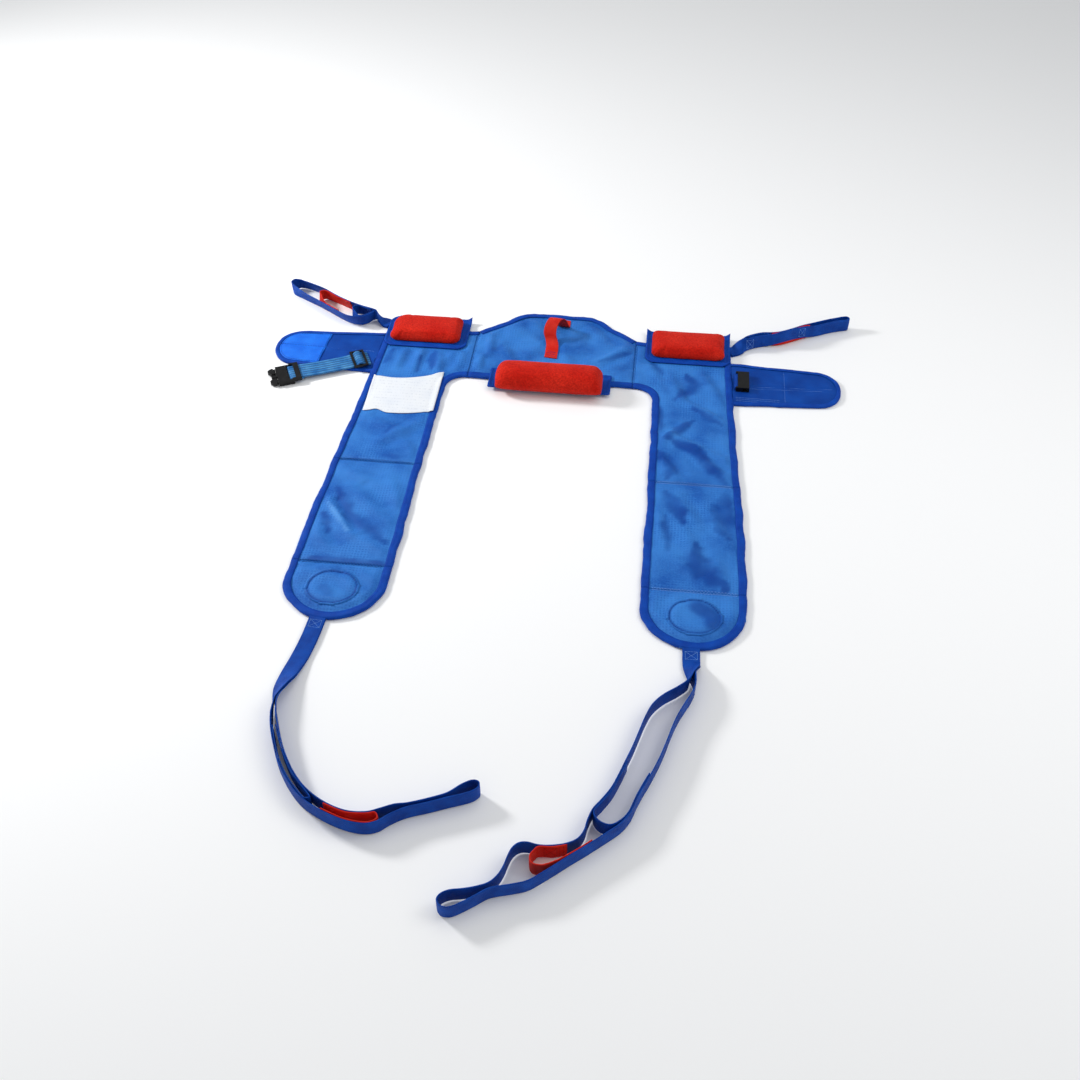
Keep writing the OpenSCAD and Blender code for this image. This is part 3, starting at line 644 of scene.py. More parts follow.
# Painted shade on the dull side of the larger folds, set in the same way: a line, half width, strength; a
# negative strength paints a highlight instead
SHADES = {
    "right_side": [
        ([(230, -20), (260, -60)], 14, 0.7), ([(310, -50), (330, -90), (290, -150)], 14, 0.9),
        ([(200, -100), (250, -180), (260, -260)], 9, 0.8), ([(330, -180), (390, -230)], 8, 0.8),
        ([(330, -220), (270, -290)], 11, 0.9), ([(280, -290), (340, -330), (400, -420)], 12, 1.0),
        ([(250, -330), (290, -380), (280, -420)], 13, 0.9),
    ],
    "right_leg": [
        ([(280, -460), (320, -550)], 14, 0.9), ([(280, -530), (290, -630)], 9, 0.6),
        ([(400, -460), (400, -580)], 22, 0.8), ([(340, -610), (350, -680), (400, -720)], 20, 1.0),
    ],
    "left_side": [
        ([(-280, -30), (-280, -100)], 11, 0.9), ([(-310, -50), (-310, -110)], 6, 0.6),
        ([(-380, -30), (-390, -80)], 11, 0.6), ([(-300, -280), (-340, -340)], 5, 0.5),
        ([(-280, -410), (-330, -410)], 9, 0.5),
    ],
    "left_leg": [
        ([(-400, -520), (-360, -600), (-270, -670)], 12, 0.7), ([(-410, -600), (-390, -650)], 13, 0.8),
        ([(-410, -730), (-260, -730)], 8, 0.9), ([(-410, -570), (-350, -650)], 5, -0.8),
    ],
    "back": [([(180, 20), (110, -30)], 6, 0.6), ([(-130, 10), (-160, -30)], 12, 0.4)],
}


def fold_height(pts, name):
    h = np.zeros(len(pts))
    for x0, y0, x1, y1, w, top in FOLDS.get(name, []):
        a, d = np.array([x0, y0]), np.array([x1 - x0, y1 - y0])
        t = np.clip((pts - a) @ d / (d @ d), 0, 1)
        away = np.linalg.norm(pts - a - t[:, None] * d, axis=1)
        h += FOLD_DEPTH * top * bell(away, 0, w) * (0.35 + 0.65 * np.sin(math.pi * np.clip(t, 0.08, 0.92)))
        side = (pts - a) @ np.array([-d[1], d[0]]) / np.linalg.norm(d)
        h -= FOLD_DEPTH * 0.5 * top * bell(side, 1.7 * w, w) * ((t > 0.05) & (t < 0.95))
    return h


def shade_of(pts, name):
    """Painted shade at each point, for how far it turns from the light: 1 darkest, below 0 a painted
    highlight.
    """
    lit = [np.ones(len(pts)), np.ones(len(pts))]
    ragged = 0.9 * wobbles(pts, 23, 71.0) + 0.5 * wobbles(pts, 9, 72.0)
    patchy = 0.8 + 0.5 * wobbles(pts, 34, 73.0)
    for line, half, strength in SHADES.get(name, []):
        line = np.array(line, float)
        d, at = nearest(pts, dense(line, 2.0, closed=False))
        ends = np.minimum(np.linalg.norm(at - line[0], axis=1), np.linalg.norm(at - line[-1], axis=1))
        wide = half * (0.45 + 0.75 * np.clip(ends / 38, 0, 1))
        s = np.clip((wide * 1.5 - d + ragged * half * 0.7) / (wide * 1.3), 0, 1)
        lit[strength < 0] *= 1 - abs(strength) * patchy * eased(s)
    return np.clip(lit[1] - lit[0], -1, 1)


def set_shade(ob, values):
    """Stores the painted shade and highlight of the cloth's points, which come first in the mesh; its
    stitches have none.
    """
    full = np.zeros(len(ob.data.vertices), np.float32)
    full[: len(values)] = values
    ob.data.attributes.new("shade", "FLOAT", "POINT").data.foreach_set("value", full)


class Panel:
    """One panel region: its grid, distance to the free edge, and the body or bodies it follows."""

    def __init__(self, name, poly, lo, hi, body, blend=None):
        self.name, self.poly, self.body, self.blend = name, poly, body, blend
        self.lo, self.hi = np.array(lo, float), np.array(hi, float)
        self.edge = dense(poly, 3.0)
        self.pts, self.quads = grid(inset(poly, 3.0), 5.5, self.lo, self.hi)
        self.d = nearest(self.pts, self.edge)[0]
        self.low_pts, self.low_quads = grid(inset(poly, 6.0), 9.0, self.lo, self.hi)
        self.size = np.ptp(self.pts, axis=0)
        q = self.pts[self.quads]
        a, b = q[:, 2] - q[:, 0], q[:, 3] - q[:, 1]
        self.area = 0.5 * abs(a[:, 0] * b[:, 1] - b[:, 0] * a[:, 1]).sum()

    def seam_distance(self):
        """Distance to the sewn lines that end this panel."""
        d = np.full(len(self.pts), 1e3)
        for k in (0, 1):
            for limit in (self.lo[k], self.hi[k]):
                if abs(limit) < FAR - 1:
                    d = np.minimum(d, abs(self.pts[:, k] - limit))
        return d

    def prepare(self):
        seam = self.seam_distance()
        free = eased(np.clip((self.d - 15) / 14, 0, 1) * np.clip(seam / 12, 0, 1))
        grain = wobbles(self.pts, 70, 3.1) * 1.6 + wobbles(self.pts, 26, 9.7) * 0.55
        z = COVER_Z + free * (1.9 + fold_height(self.pts, self.name) + grain) - 0.8 * bell(seam, 0, 2.6)
        pressed = hard_zone(self.pts)
        z = z * (1 - pressed) + COVER_Z * pressed
        pin = (self.d < 13) | (seam < 1.5) | (pressed > 0.9)
        simulate(self.name, np.column_stack([self.pts, z]), self.quads, pin, cap=3.0, bend=0.25, grow=0.012)

    def finish(self):
        top = settled(self.name)
        top[:, 2] = np.maximum(top[:, 2], COVER_LOW)
        v, f = slab(self.pts, self.quads, top[:, 2], np.full(len(top), COVER_UNDER))
        v[: len(top)] = top
        self.top = BVHTree.FromPolygons(top.tolist(), self.quads.tolist())
        b = Build().add(v, f, 0, np.vstack([self.pts, self.pts]))
        for mat, path in self.seam_rows():
            b.add(*stitches(np.column_stack([path, self.heights(path) + 0.15]), UP, SEAM_STITCH), mat=mat)
        line = THREAD_PALE if "right" in self.name else THREAD_DARK
        ob = b.done(self.name + "_cover_cloth", [MESH, line, THREAD_DARK])
        # painted shade and painted highlight of the folds, kept on the cover's points
        set_shade(ob, np.tile(shade_of(self.pts, self.name), 2))
        padding = ["back_padding"] if self.name == "back" else []
        self.place(ob, [self.name + "_cover"] + padding, "mesh_cover")

        low = self.low_pts
        under = LINING_UNDER + 0.25 * wobbles(low, 55, 5.0)
        under = np.where(nearest(low, self.edge)[0] < 14, LINING_EDGE, under)
        v, f = slab(low, self.low_quads, np.full(len(low), LINING_TOP), under)
        ob = Build().add(v, f).done(self.name + "_lining_cloth", [LINING])
        self.place(ob, [self.name + "_lining"], "lining")

    def heights(self, pts):
        """The cover's height at each of the points."""
        hits = [self.top.ray_cast(Vector((x, y, 60)), Vector((0, 0, -1)))[0] for x, y in pts]
        return np.array([COVER_Z if h is None else h.z for h in hits])

    def seam_rows(self):
        """Rows of zigzag stitching beside each sewn line, where the cover shows: (thread, points)."""
        rows = []
        for k in (1, 0):
            for limit, sign in ((self.lo[k], 1), (self.hi[k], -1)):
                other = self.pts[abs(self.pts[:, k] - limit) < 1e-3][:, 1 - k]
                if abs(limit) < FAR - 1 and len(other) > 2:
                    a = np.arange(other.min() + 15, other.max() - 15, 3.2)
                    wide = 1.5 if k == 1 else 0.5
                    c = limit + sign * (2.3 + wide * (-1.0) ** np.arange(len(a)))
                    rows.append((1, np.stack([a, c], 1)) if k == 1 else (2, np.stack([c, a], 1)))
        return rows

    def place(self, ob, nodes, slot):
        place_piece(ob, self.body, nodes, self.blend)


def place_piece(ob, body, nodes, blend=None):
    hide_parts(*nodes)
    if blend:
        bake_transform(ob)
    else:
        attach(ob, body)


# Where a pad, the roll, the label or a patch presses the cover: centre and half sizes
PRESSED = ((311, 46, 104, 66), (-311, 46, 104, 66), (0, -112, 146, 40), (4, 124, 26, 26), (-9, 2, 24, 38))


def hard_zone(pts):
    """1 where something presses the cover flat, 0 elsewhere."""
    h = np.zeros(len(pts))
    for cx, cy, rx, ry in PRESSED:
        q = np.maximum(abs(pts[:, 0] - cx) / rx, abs(pts[:, 1] - cy) / ry)
        h = np.maximum(h, np.clip((1.06 - q) / 0.08, 0, 1))
    return h


def both(pts, s):
    return pts if s > 0 else mirrored(pts)


def hinge(before, after, s, y):
    """The bodies on both sides of a cross stitching, where the second takes over, and where it has."""
    return before, after, (s * 0.34, y * MM, 0.0), (s * 0.34, (y - 30) * MM, 0.0)


GAP = 0.15  # from a panel's end to the stitching line
panels = [Panel("back", BACK, (-SEAM_X + GAP, -FAR), (SEAM_X - GAP, FAR), "sling_back")]
for s, side in ((-1, "left"), (1, "right")):
    outline, leg, tip = both(LEG, s), f"{side}_leg", f"{side}_leg_tip"
    x0, x1 = (SEAM_X + GAP, FAR) if s > 0 else (-FAR, -SEAM_X - GAP)
    fold, last = hinge("sling_back", leg, s, FOLD_Y - GAP), hinge(leg, tip, s, TIP_LINE_Y - GAP)
    panels.append(Panel(f"{side}_side", outline, (x0, FOLD_Y + GAP), (x1, FAR), "sling_back"))
    panels.append(Panel(leg, outline, (-FAR, TIP_LINE_Y + GAP), (FAR, FOLD_Y - GAP), None, fold))
    panels.append(Panel(f"{side}_tip", outline, (-FAR, -FAR), (FAR, TIP_LINE_Y - GAP), None, last))
for p in panels:
    p.prepare()

# Binding: a folded tape, swept along the free edges
# The tape's section: distance in from the edge, and height
TAPE_PROFILE = np.array(
    [(15.6, 6.7), (15.8, 7.5), (12.5, 8.1), (7.0, 8.3), (3.0, 7.9), (0.9, 6.6), (0.0, 4.4), (0.5, 2.0),
     (2.2, 0.6), (6, 0.25), (15, 0.25), (15, 1.2), (6, 1.3), (3.2, 1.9), (2.2, 4.2), (3.4, 6.2), (8.0, 6.9)]
)


def runs(poly, test, step=4.0):
    """The stretches of an outline that pass a test, as open lines."""
    p = dense(poly, step)
    ok = np.array([test(q) for q in p])
    start = int(np.flatnonzero(~ok)[0])
    p, ok = np.roll(p, -start, 0), np.roll(ok, -start)
    out, run = [], []
    for q, k in zip(p, ok):
        if k:
            run.append(q)
        elif run:
            out.append(np.array(run))
            run = []
    if run:
        out.append(np.array(run))
    return [r for r in out if len(r) > 4]


def to_ends(line, ends):
    """The line carried on or cut back to where it meets a seam, given as (axis, value) for each end."""
    line = line.copy()
    for i, j in ((0, 1), (-1, -2)):
        for axis, value in ends:
            if abs(line[i][axis] - value) < 6:
                d = line[i] - line[j]
                if abs(d[axis]) > 1e-6:
                    line[i] = line[j] + d * (value - line[j][axis]) / d[axis]
    return line


BESIDE_SLIDER = np.array([-413.0, -75.0])  # the binding is flat here, because the slider swings past it


def bind(name, lines, body, node, blend, seed, lip=1.0, wave=1.0, tall=1.0):
    """Tape along open edges, wavy except near their ends. lip and tall scale its section, wave its waves."""
    b, length = Build(), 0.0
    for line in lines:
        line = smooth_line(line, 3)
        t = np.gradient(line, axis=0)
        t /= np.linalg.norm(t, axis=1)[:, None]
        inward = smooth_line(np.stack([-t[:, 1], t[:, 0]], 1), 2)
        inward /= np.linalg.norm(inward, axis=1)[:, None]
        s = lengths(line)
        length += s[-1]
        fade = wave * np.clip(np.minimum(s, s[-1] - s) / 25, 0, 1) * (1 - hard_zone(line))
        fade *= np.clip(np.hypot(*(line - BESIDE_SLIDER).T) / 30 - 1, 0, 1)
        push = (wobbles(line, 52, 20 + seed) * 3.6 + wobbles(line, 17, 31 + seed) * 1.1) * fade
        lift = (wobbles(line, 38, 50 + seed) + wobbles(line, 12, 61 + seed) * 0.55) * fade
        profiles = []
        for out, up in zip(push, lift):
            q = TAPE_PROFILE * (lip, 1.0)
            q[:, 0] += out * (0.35 + 0.65 * np.clip(1 - q[:, 0] / (15 * lip), 0, 1))
            q[:, 1] = q[:, 1] * tall + np.clip((q[:, 1] - 1.3) / 5, 0, 1) * up
            profiles.append(q)
        flat = np.column_stack([line, np.zeros(len(line))])
        v, f, uv = sweep(flat, [(np.array([*a, 0.0]), np.array(UP, float)) for a in inward], profiles)
        b.add(v, [q[::-1] for q in f], 0, uv)
        row = flat + np.column_stack([inward * (12.2 * lip + push * 0.45)[:, None], 8.15 * tall + lift])
        b.add(*stitches(row, UP, BINDING_STITCH), mat=1)
    ob = b.done(name, [TAPE, THREAD])
    place_piece(ob, body, [node], blend)


def bind_panel(p):
    ends = [(k, limit[k]) for k in (0, 1) for limit in (p.lo, p.hi) if abs(limit[k]) < FAR - 1]
    lines = [to_ends(r, ends) for r in runs(p.poly, lambda q: bool((q > p.lo).all() and (q < p.hi).all()))]
    seed = sum(map(ord, p.name)) % 17
    bind(p.name + "_binding_tape", lines, p.body, p.name + "_binding", p.blend, seed)


# ---------------------------------------------------------------- padded pieces: roll and underarm pads
PAD_BASE = 9.6
ROLL_Y, ROLL_RX, ROLL_RZ, ROLL_L = -131, 45, 28, 246
ARM_LO, ARM_HI = (222, 0), (400, 98)


def layers(loops):
    """A closed stack of loops that all have the same number of points."""
    return np.vstack(loops), tube(len(loops), len(loops[0]))


def roll_shape():
    """Ellipse with a flat underside, drawn in towards both ends."""
    flat, end = math.radians(50), 24
    a = np.linspace(-flat, math.pi + flat, 40)
    loops = []
    for x in np.concatenate([np.linspace(-1, -0.82, 9), np.linspace(-0.7, 0.7, 12), np.linspace(0.82, 1, 9)]):
        px = x * (ROLL_L / 2 - 1.5)
        past = np.clip((abs(px) - ROLL_L / 2 + end) / end, 0, 1)
        k = math.sqrt(1 - 0.72 * past**2)
        cz = PAD_BASE + ROLL_RZ * math.sin(flat) * k
        rx, rz = (ROLL_RX - 2) * (0.45 + 0.55 * k), (ROLL_RZ - 2) * k
        loops.append(np.column_stack([np.full(40, px), ROLL_Y + rx * np.cos(a), cz + rz * np.sin(a)]))
    return layers(loops)


def round_box(lo, hi, r, outer=None, inner=None):
    """A box with round corners; outer and inner are the radii of its two far corners."""
    (x0, y0), (x1, y1) = lo, hi
    p, q, n = outer or r, inner or r, 8
    return np.array(
        arc((x1 - r, y0 + r), r, r, -90, 0, n)
        + arc((x1 - p, y1 - p), p, p, 0, 90, n)
        + arc((x0 + q, y1 - q), q, q, 90, 180, n)
        + arc((x0 + r, y0 + r), r, r, 180, 270, n)
    )


# Height above the floor and how far the outline pulls in there
PAD_LAYERS = ((9.6, 3), (11.5, 1), (15, 0), (20, 1.5), (24, 5), (27, 10), (29.5, 17), (31, 25), (32, 34))


def arm_shape(s):
    loops = []
    for z, pull in PAD_LAYERS:
        lo = (ARM_LO[0] + pull + (4 if s < 0 else 0), ARM_LO[1] + pull)
        hi = (ARM_HI[0] - pull, ARM_HI[1] - pull)
        outer, inner = (k - k / 50 * pull for k in ((38, 16) if s < 0 else (12, 10)))
        p = round_box(lo, hi, 20 - pull / 4, outer, inner)
        loops.append(np.column_stack([p, np.full(len(p), z)]))
    v, f = layers(loops)
    if s < 0:
        v[:, 0] *= -1
        f = [q[::-1] for q in f]
    return v, f


cushions = {"lumbar": roll_shape(), "left_arm": arm_shape(-1), "right_arm": arm_shape(1)}
for name, shape in cushions.items():
    v, f = remeshed(*shape, 4.0)
    cushions[name] = f
    simulate(name, v, f, v[:, 2] < PAD_BASE + 1.2, cap=3.5, bend=0.6, pressure=4.0)

run_simulation()
for p in panels:
    p.finish()
    bind_panel(p)
panel_of = {p.name: p for p in panels}


def outward(ob):
    """Every closed shell of the piece faces out."""
    bm = bmesh.new()
    bm.from_mesh(ob.data)
    bmesh.ops.recalc_face_normals(bm, faces=bm.faces)
    bm.to_mesh(ob.data)
    bm.free()
    return ob


def gathers(p, name):
    """Small puckers where the fleece is pulled down to its backing."""
    x, y, z = p
    low = bell(z, PAD_BASE, 7)
    if name == "lumbar":
        turn = math.atan2(z - 30, y - ROLL_Y)
        end = np.clip((abs(x) - ROLL_L / 2 + 26) / 26, 0, 1)
        drawn = -0.9 * end * (0.5 + 0.5 * math.sin(turn * 13 + x * 0.02))
        return drawn - 0.8 * low * (0.5 + 0.5 * wobble(x, 0, 9, 4.0))
    return -1.6 * low * (0.5 + 0.5 * wobble(x, y, 8, 4.0))


def cushion(name):
    v, f = settled(name), cushions[name]
    out = v - v.mean(0)
    out /= np.linalg.norm(out, axis=1)[:, None]
    soft = np.array([gathers(p, name) + 0.7 * wobble(p[0] + 7, p[1], 34, p[2] / 30) for p in v])
    v += out * soft[:, None]
    v[:, 2] = np.maximum(v[:, 2], PAD_BASE)
    ob = outward(make(name + "_fleece", v, f, [FLEECE]))
    mod = ob.modifiers.new("smooth", "SUBSURF")
    mod.levels = mod.render_levels = 1
    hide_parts(name + "_cover", name + "_foam")
    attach(ob, "sling_back")


for name in cushions:
    cushion(name)


def backing(name, poly, spikes=()):
    """Bound cloth under a pad: a corded edge, stitches inside it, and corners that rise."""
    pts, quads = grid(poly, 2.6)
    d = nearest(pts, dense(poly, 2.0))[0]
    top = 9.4 + 1.5 * bell(d, 3.4, 2.4) - 0.6 * bell(d, 7.6, 1.3) + 0.35 * wobbles(pts, 19, 8.0)
    for corner in spikes:
        top += 9.0 * np.clip(1 - np.linalg.norm(pts - corner, axis=1) / 15, 0, 1) ** 1.6
    b = Build().add(*slab(pts, quads, top, top - 1.5))
    inner = dense(inset(poly, 7.6), 3.0)
    b.add(*stitches(np.column_stack([inner, np.full(len(inner), 9.0)]), UP, BACKING_STITCH), mat=1)
    ob = b.done(name + "_backing_cloth", [TAPE, THREAD])
    place_piece(ob, "sling_back", [name + "_backing"])


backing("lumbar", round_box((-140, -150), (140, -78), 6))
for s, side in ((-1, "left"), (1, "right")):
    shape = arc((236, 10), 24, 24, 180, 270, 8) + arc((386, 10), 24, 24, 270, 360, 8)
    shape += [(410, 108)] if s > 0 else arc((380, 78), 30, 30, 0, 90, 8)
    shape += [(212, 108)]
    backing(f"{side}_arm", np.array(both(shape, s)), [(s * 211, 108)] + ([(410, 108)] if s > 0 else []))


# ---------------------------------------------------------------- label and leg patches
LABEL_X, LABEL_Y = (-404, -246), (-265, -135)  # its corners on the left; the right side lies higher


def care_label():
    p, nu, nv = panel_of["left_side"], 54, 46
    u = np.linspace(0, 1, nu + 1)
    x = LABEL_X[0] + (LABEL_X[1] - LABEL_X[0]) * u
    sag = np.sin(math.pi * u)
    top = LABEL_Y[1] + 28 * u**2 - 10 * sag
    low = LABEL_Y[0] + 13 * u**3 - 4 * sag + 9 * bell(u, 0.2, 0.1)
    pts = np.vstack([np.stack([x, low * (1 - t) + top * t], 1) for t in np.linspace(0, 1, nv + 1)])
    over = np.clip((22 - nearest(pts, p.edge)[0]) / 6, 0, 1)
    z = np.maximum(p.heights(pts) + 0.9, 10.1 * over) + 0.5 * (1 + wobbles(pts, 42, 2.0))
    g = z.reshape(nv + 1, nu + 1)
    for _ in range(6):
        around = (g[:-2, 1:-1] + g[2:, 1:-1] + g[1:-1, :-2] + g[1:-1, 2:]) / 4
        g[1:-1, 1:-1] = np.maximum(g[1:-1, 1:-1], around)
    v, f = slab(pts, np.array(cells(nv + 1, nu + 1)), z + 0.5, z)
    ob = outward(Build().add(v, f).done("care_label_cloth", [LABEL]))
    place_piece(ob, "sling_back", ["care_label"])


PATCH_AT, PATCH_RX, PATCH_RY = (345, -804), 53, 47
# Painted shade on each patch: a line, how wide and how strong
PATCH_PAINTED_SHADE = {
    -1: ([(-350, -820), (-360, -810)], 9, 0.35),
    1: ([(350, -780), (380, -800), (380, -820)], 13, 0.7),
}


def oval(s, smaller):
    return np.array(arc((s * PATCH_AT[0], PATCH_AT[1]), PATCH_RX - smaller, PATCH_RY - smaller, 0, 350, 35))


def tip_patch(s, side):
    p = panel_of[f"{side}_tip"]
    pts, quads = grid(oval(s, 0), 3.2)
    d = nearest(pts, dense(oval(s, 0), 1.5))[0]
    base = p.heights(pts)
    crown = 4.0 - 3.0 * bell(np.clip(d - 6, 0, None), 0, 7)
    crown += 1.6 * bell(d, 2.4, 1.7) - 0.8 * bell(d, 5.6, 1.3)
    crown += 0.8 * wobbles(pts, 7, 12.0) * bell(d, 6, 4) + wobbles(pts, 24, 6.0) * np.clip((d - 8) / 14, 0, 1)
    b = Build().add(*slab(pts, quads, base + crown, base - 0.3))
    ring = dense(oval(s, 5.2), 3.0)
    b.add(*stitches(np.column_stack([ring, p.heights(ring) + 0.75]), UP, PATCH_STITCH), mat=1)
    ob = b.done(f"{side}_tip_patch_cloth", [MESH, THREAD_DARK])
    # painted shade in the dip at the stitched ring, and along a line on each patch
    line, width, strength = PATCH_PAINTED_SHADE[s]
    painted_shade = np.clip(1.7 - nearest(pts, dense(line, 2.0, closed=False))[0] / width, 0, 1) * strength
    set_shade(ob, np.tile(np.maximum(0.9 * bell(d, 5.6, 2.0), painted_shade), 2))
    p.place(ob, [f"{side}_tip_patch"], "mesh_cover")


care_label()
tip_patch(-1, "left")
tip_patch(1, "right")


# ---------------------------------------------------------------- webbing
WEB_W, WEB_T, WEB_LIFT = 32, 2.2, 1.2
STRAND_GAP, LEG_IN = WEB_T / 2 + 0.7, WEB_T + 0.6


def at(items, i):
    return items[max(0, min(len(items) - 1, i))]


def heading(st, i):
    return unit(at(st, i + 1)[0] - at(st, i - 1)[0])


def laid(route, stack=1):
    """Webbing on the floor from (x, y, turn, lift): turn 0 is flat and 90, the default, is on edge."""
    out = []
    for i, p in enumerate(route):
        t = unit(np.subtract(at(route, i + 1)[:2], at(route, i - 1)[:2]))
        turn = math.radians(p[2] if len(p) > 2 else 90)
        lift = p[3] if len(p) > 3 else 0
        z = WEB_W / 2 * math.sin(turn) + stack * (WEB_T / 2 + 0.2) * math.cos(turn) + lift + WEB_LIFT
        across = np.array([-t[1] * math.cos(turn), t[0] * math.cos(turn), math.sin(turn)])
        out.append((np.array([p[0], p[1], z], float), across))
    return out


def beside(st, d):
    return [(c + d * unit(np.cross(heading(st, i), w)), w) for i, (c, w) in enumerate(st)]


def long_loop(trunk, near, far):
    a, b = beside(laid(trunk, 2), STRAND_GAP), beside(laid(trunk, 2), -STRAND_GAP)
    return a + laid(near) + laid(far)[::-1] + b[::-1]


def short_loop(near, far, turn):
    return beside(laid(near), -LEG_IN) + laid(turn) + beside(laid(far), LEG_IN)[::-1]


class Strip:
    """Webbing along smooth curves through its stations."""

    def __init__(self, st, width=WEB_W, thick=WEB_T, step=4.0, ribs=0.0):
        self.width, self.thick, c, w = width, thick, [], []
        for i in range(len(st) - 1):
            p0, p1, p2, p3 = at(st, i - 1)[0], st[i][0], st[i + 1][0], at(st, i + 2)[0]
            n = max(2, math.ceil(np.linalg.norm(p2 - p1) / step))
            for t in np.arange(n) / n:
                cubic = t * (2 * p0 - 5 * p1 + 4 * p2 - p3 + t * (3 * (p1 - p2) + p3 - p0))
                c.append(p1 + 0.5 * t * (p2 - p0 + cubic))
                w.append(unit(st[i][1] * (1 - t) + st[i + 1][1] * t))
        self.line, self.across = np.array(c + [st[-1][0]]), np.array(w + [unit(st[-1][1])])
        t = np.gradient(self.line, axis=0)
        self.off = np.array([unit(np.cross(a, b)) for a, b in zip(t, self.across)])
        self.s = lengths(self.line)
        self.length = self.s[-1]
        h, e = width / 2, thick / 2
        a = np.linspace(-h + 1.2, h - 1.2, 41 if ribs else 9)
        bulge = e + (0.32 * np.cos(2 * math.pi * a / ribs) if ribs else 0.12 * np.cos(math.pi * a / h))
        face = np.stack([a, bulge], 1)
        rim = np.array([(h - 0.3, e * 0.75), (h, 0.0), (h - 0.3, -e * 0.75)])
        self.profile = np.vstack([face, rim, (face * (1, -1))[::-1], rim[::-1] * (-1, 1)])

    def face(self, s, a, side):
        """A point on one face at that length and distance across, and the way that face looks."""
        up = unit(read(s, self.s, self.off)) * side
        middle = read(s, self.s, self.line) + unit(read(s, self.s, self.across)) * a
        return middle + up * (self.thick / 2 + 0.15), up

    def sew(self, b, path, side, kind):
        """Stitches along a path of (length, across) points."""
        sewn = [self.face(s, a, side) for s, a in dense(np.array(path, float), 2.0, closed=False)]
        b.add(*stitches([q[0] for q in sewn], [q[1] for q in sewn], kind), mat=1)

    def box_x(self, b, s, long, side):
        """A sewn box with a cross in it."""
        h = self.width / 2 - 5
        corners = [(s - long / 2, -h), (s + long / 2, -h), (s + long / 2, h), (s - long / 2, h)]
        for path in (corners + corners[:1], corners[::2], corners[1::2]):
            self.sew(b, path, side, BOX_STITCH)

    def near(self, x, y, until):
        """Length along the strip at its nearest place to (x, y), in that first share of it."""
        d = np.where(self.s <= until * self.length, np.hypot(self.line[:, 0] - x, self.line[:, 1] - y), 1e9)
        return self.s[d.argmin()]

    def facing(self, s, way):
        """Which face looks that way: 1 or -1."""
        return 1 if self.face(s, 0, 1)[1] @ np.array(way, float) > 0 else -1


def webbing_piece(name, strip, body, nodes, mats, blend=None, extra=None):
    frames = list(zip(strip.across, strip.off))
    v, f, uv = sweep(strip.line, frames, [strip.profile] * len(strip.line))
    b = Build().add(v, f, 0, uv)
    if extra:
        extra(b, strip)
    ob = outward(b.done(name, mats))
    place_piece(ob, body, nodes, blend)


# The strap routes repeat the CAD source's: (x, y), then a turn and a lift where it isn't simply on edge
# Left leg strap
# Left leg strap
LL_TRUNK = [
    (-355, -884, 0), (-358, -930, 0), (-364, -975, 0), (-372, -1018, 12), (-378, -1055, 38),
    (-377, -1090, 76),
]
LL_NEAR = [
    (-374, -1122), (-366, -1152), (-352, -1186), (-335, -1220), (-310, -1255), (-281, -1284), (-244, -1305),
    (-205, -1319), (-172, -1323), (-150, -1317), (-131, -1301), (-108, -1286), (-75, -1273), (-45, -1260),
    (-22, -1251), (-6, -1243), (3, -1233),
]
LL_FAR = [
    (-366, -1121), (-355, -1148), (-341, -1178), (-324, -1209), (-301, -1242), (-274, -1269), (-240, -1290),
    (-203, -1302), (-170, -1301), (-148, -1292), (-127, -1282), (-106, -1277), (-75, -1265), (-46, -1251),
    (-26, -1233), (-10, -1223), (1, -1224),
]
LL_SHORT = [(-272, -1286), (-265, -1284), (-268, -1279)]
LL_RED = [(-157, -1317), (-149, -1309), (-155, -1300)]

# Right leg strap
RL_TRUNK = [(341, -884, 0), (342, -912, 0), (343, -935, 40), (343, -953, 75)]
RL_NEAR = [
    (336, -972), (318, -991), (294, -1011), (276, -1034), (265, -1062), (256, -1094), (247, -1126),
    (237, -1156), (227, -1186), (217, -1212), (203, -1236), (191, -1254), (184, -1275), (180, -1296),
    (171, -1312), (155, -1322), (134, -1328), (112, -1330), (93, -1327), (80, -1330), (71, -1340),
    (66, -1355), (62, -1372), (55, -1389), (43, -1403), (24, -1412), (4, -1418), (-14, -1422),
    (-26, -1429), (-31, -1439),
]
RL_FAR = [
    (349, -978), (342, -1003), (332, -1024), (320, -1052), (311, -1080), (303, -1110), (293, -1143),
    (280, -1178), (268, -1206), (259, -1230), (251, -1254), (237, -1276), (215, -1297), (196, -1314),
    (180, -1328), (163, -1342), (145, -1358), (124, -1376), (102, -1393), (78, -1402), (57, -1408),
    (42, -1414), (24, -1428), (6, -1441), (-10, -1450), (-24, -1449),
]
RL_SHORT = [(194, -1266), (204, -1277), (221, -1281), (237, -1270)]
RL_RED = [(142, -1354), (121, -1364), (105, -1362), (100, -1350), (106, -1339)]

# Left shoulder strap
LU_TRUNK = [(-421, 82, 0), (-432, 87, 25), (-443, 94, 70)]
LU_NEAR = [
    (-456, 103, 72), (-480, 113, 68), (-512, 127, 68), (-550, 149, 68), (-588, 176, 68), (-619, 192, 68),
    (-648, 204, 70), (-666, 208, 75), (-677, 202, 90), (-680, 190, 95),
]
LU_FAR = [
    (-452, 90, 75), (-464, 74, 75), (-482, 65, 72), (-508, 69, 68), (-536, 85, 68), (-573, 111, 68),
    (-604, 132, 68), (-627, 146, 70), (-654, 165, 78), (-671, 178, 88),
]
LU_SHORT = [(-497, 111, 72), (-505, 98), (-500, 82, 75)]
LU_RED = [(-588, 166, 70), (-600, 157), (-597, 142, 75)]

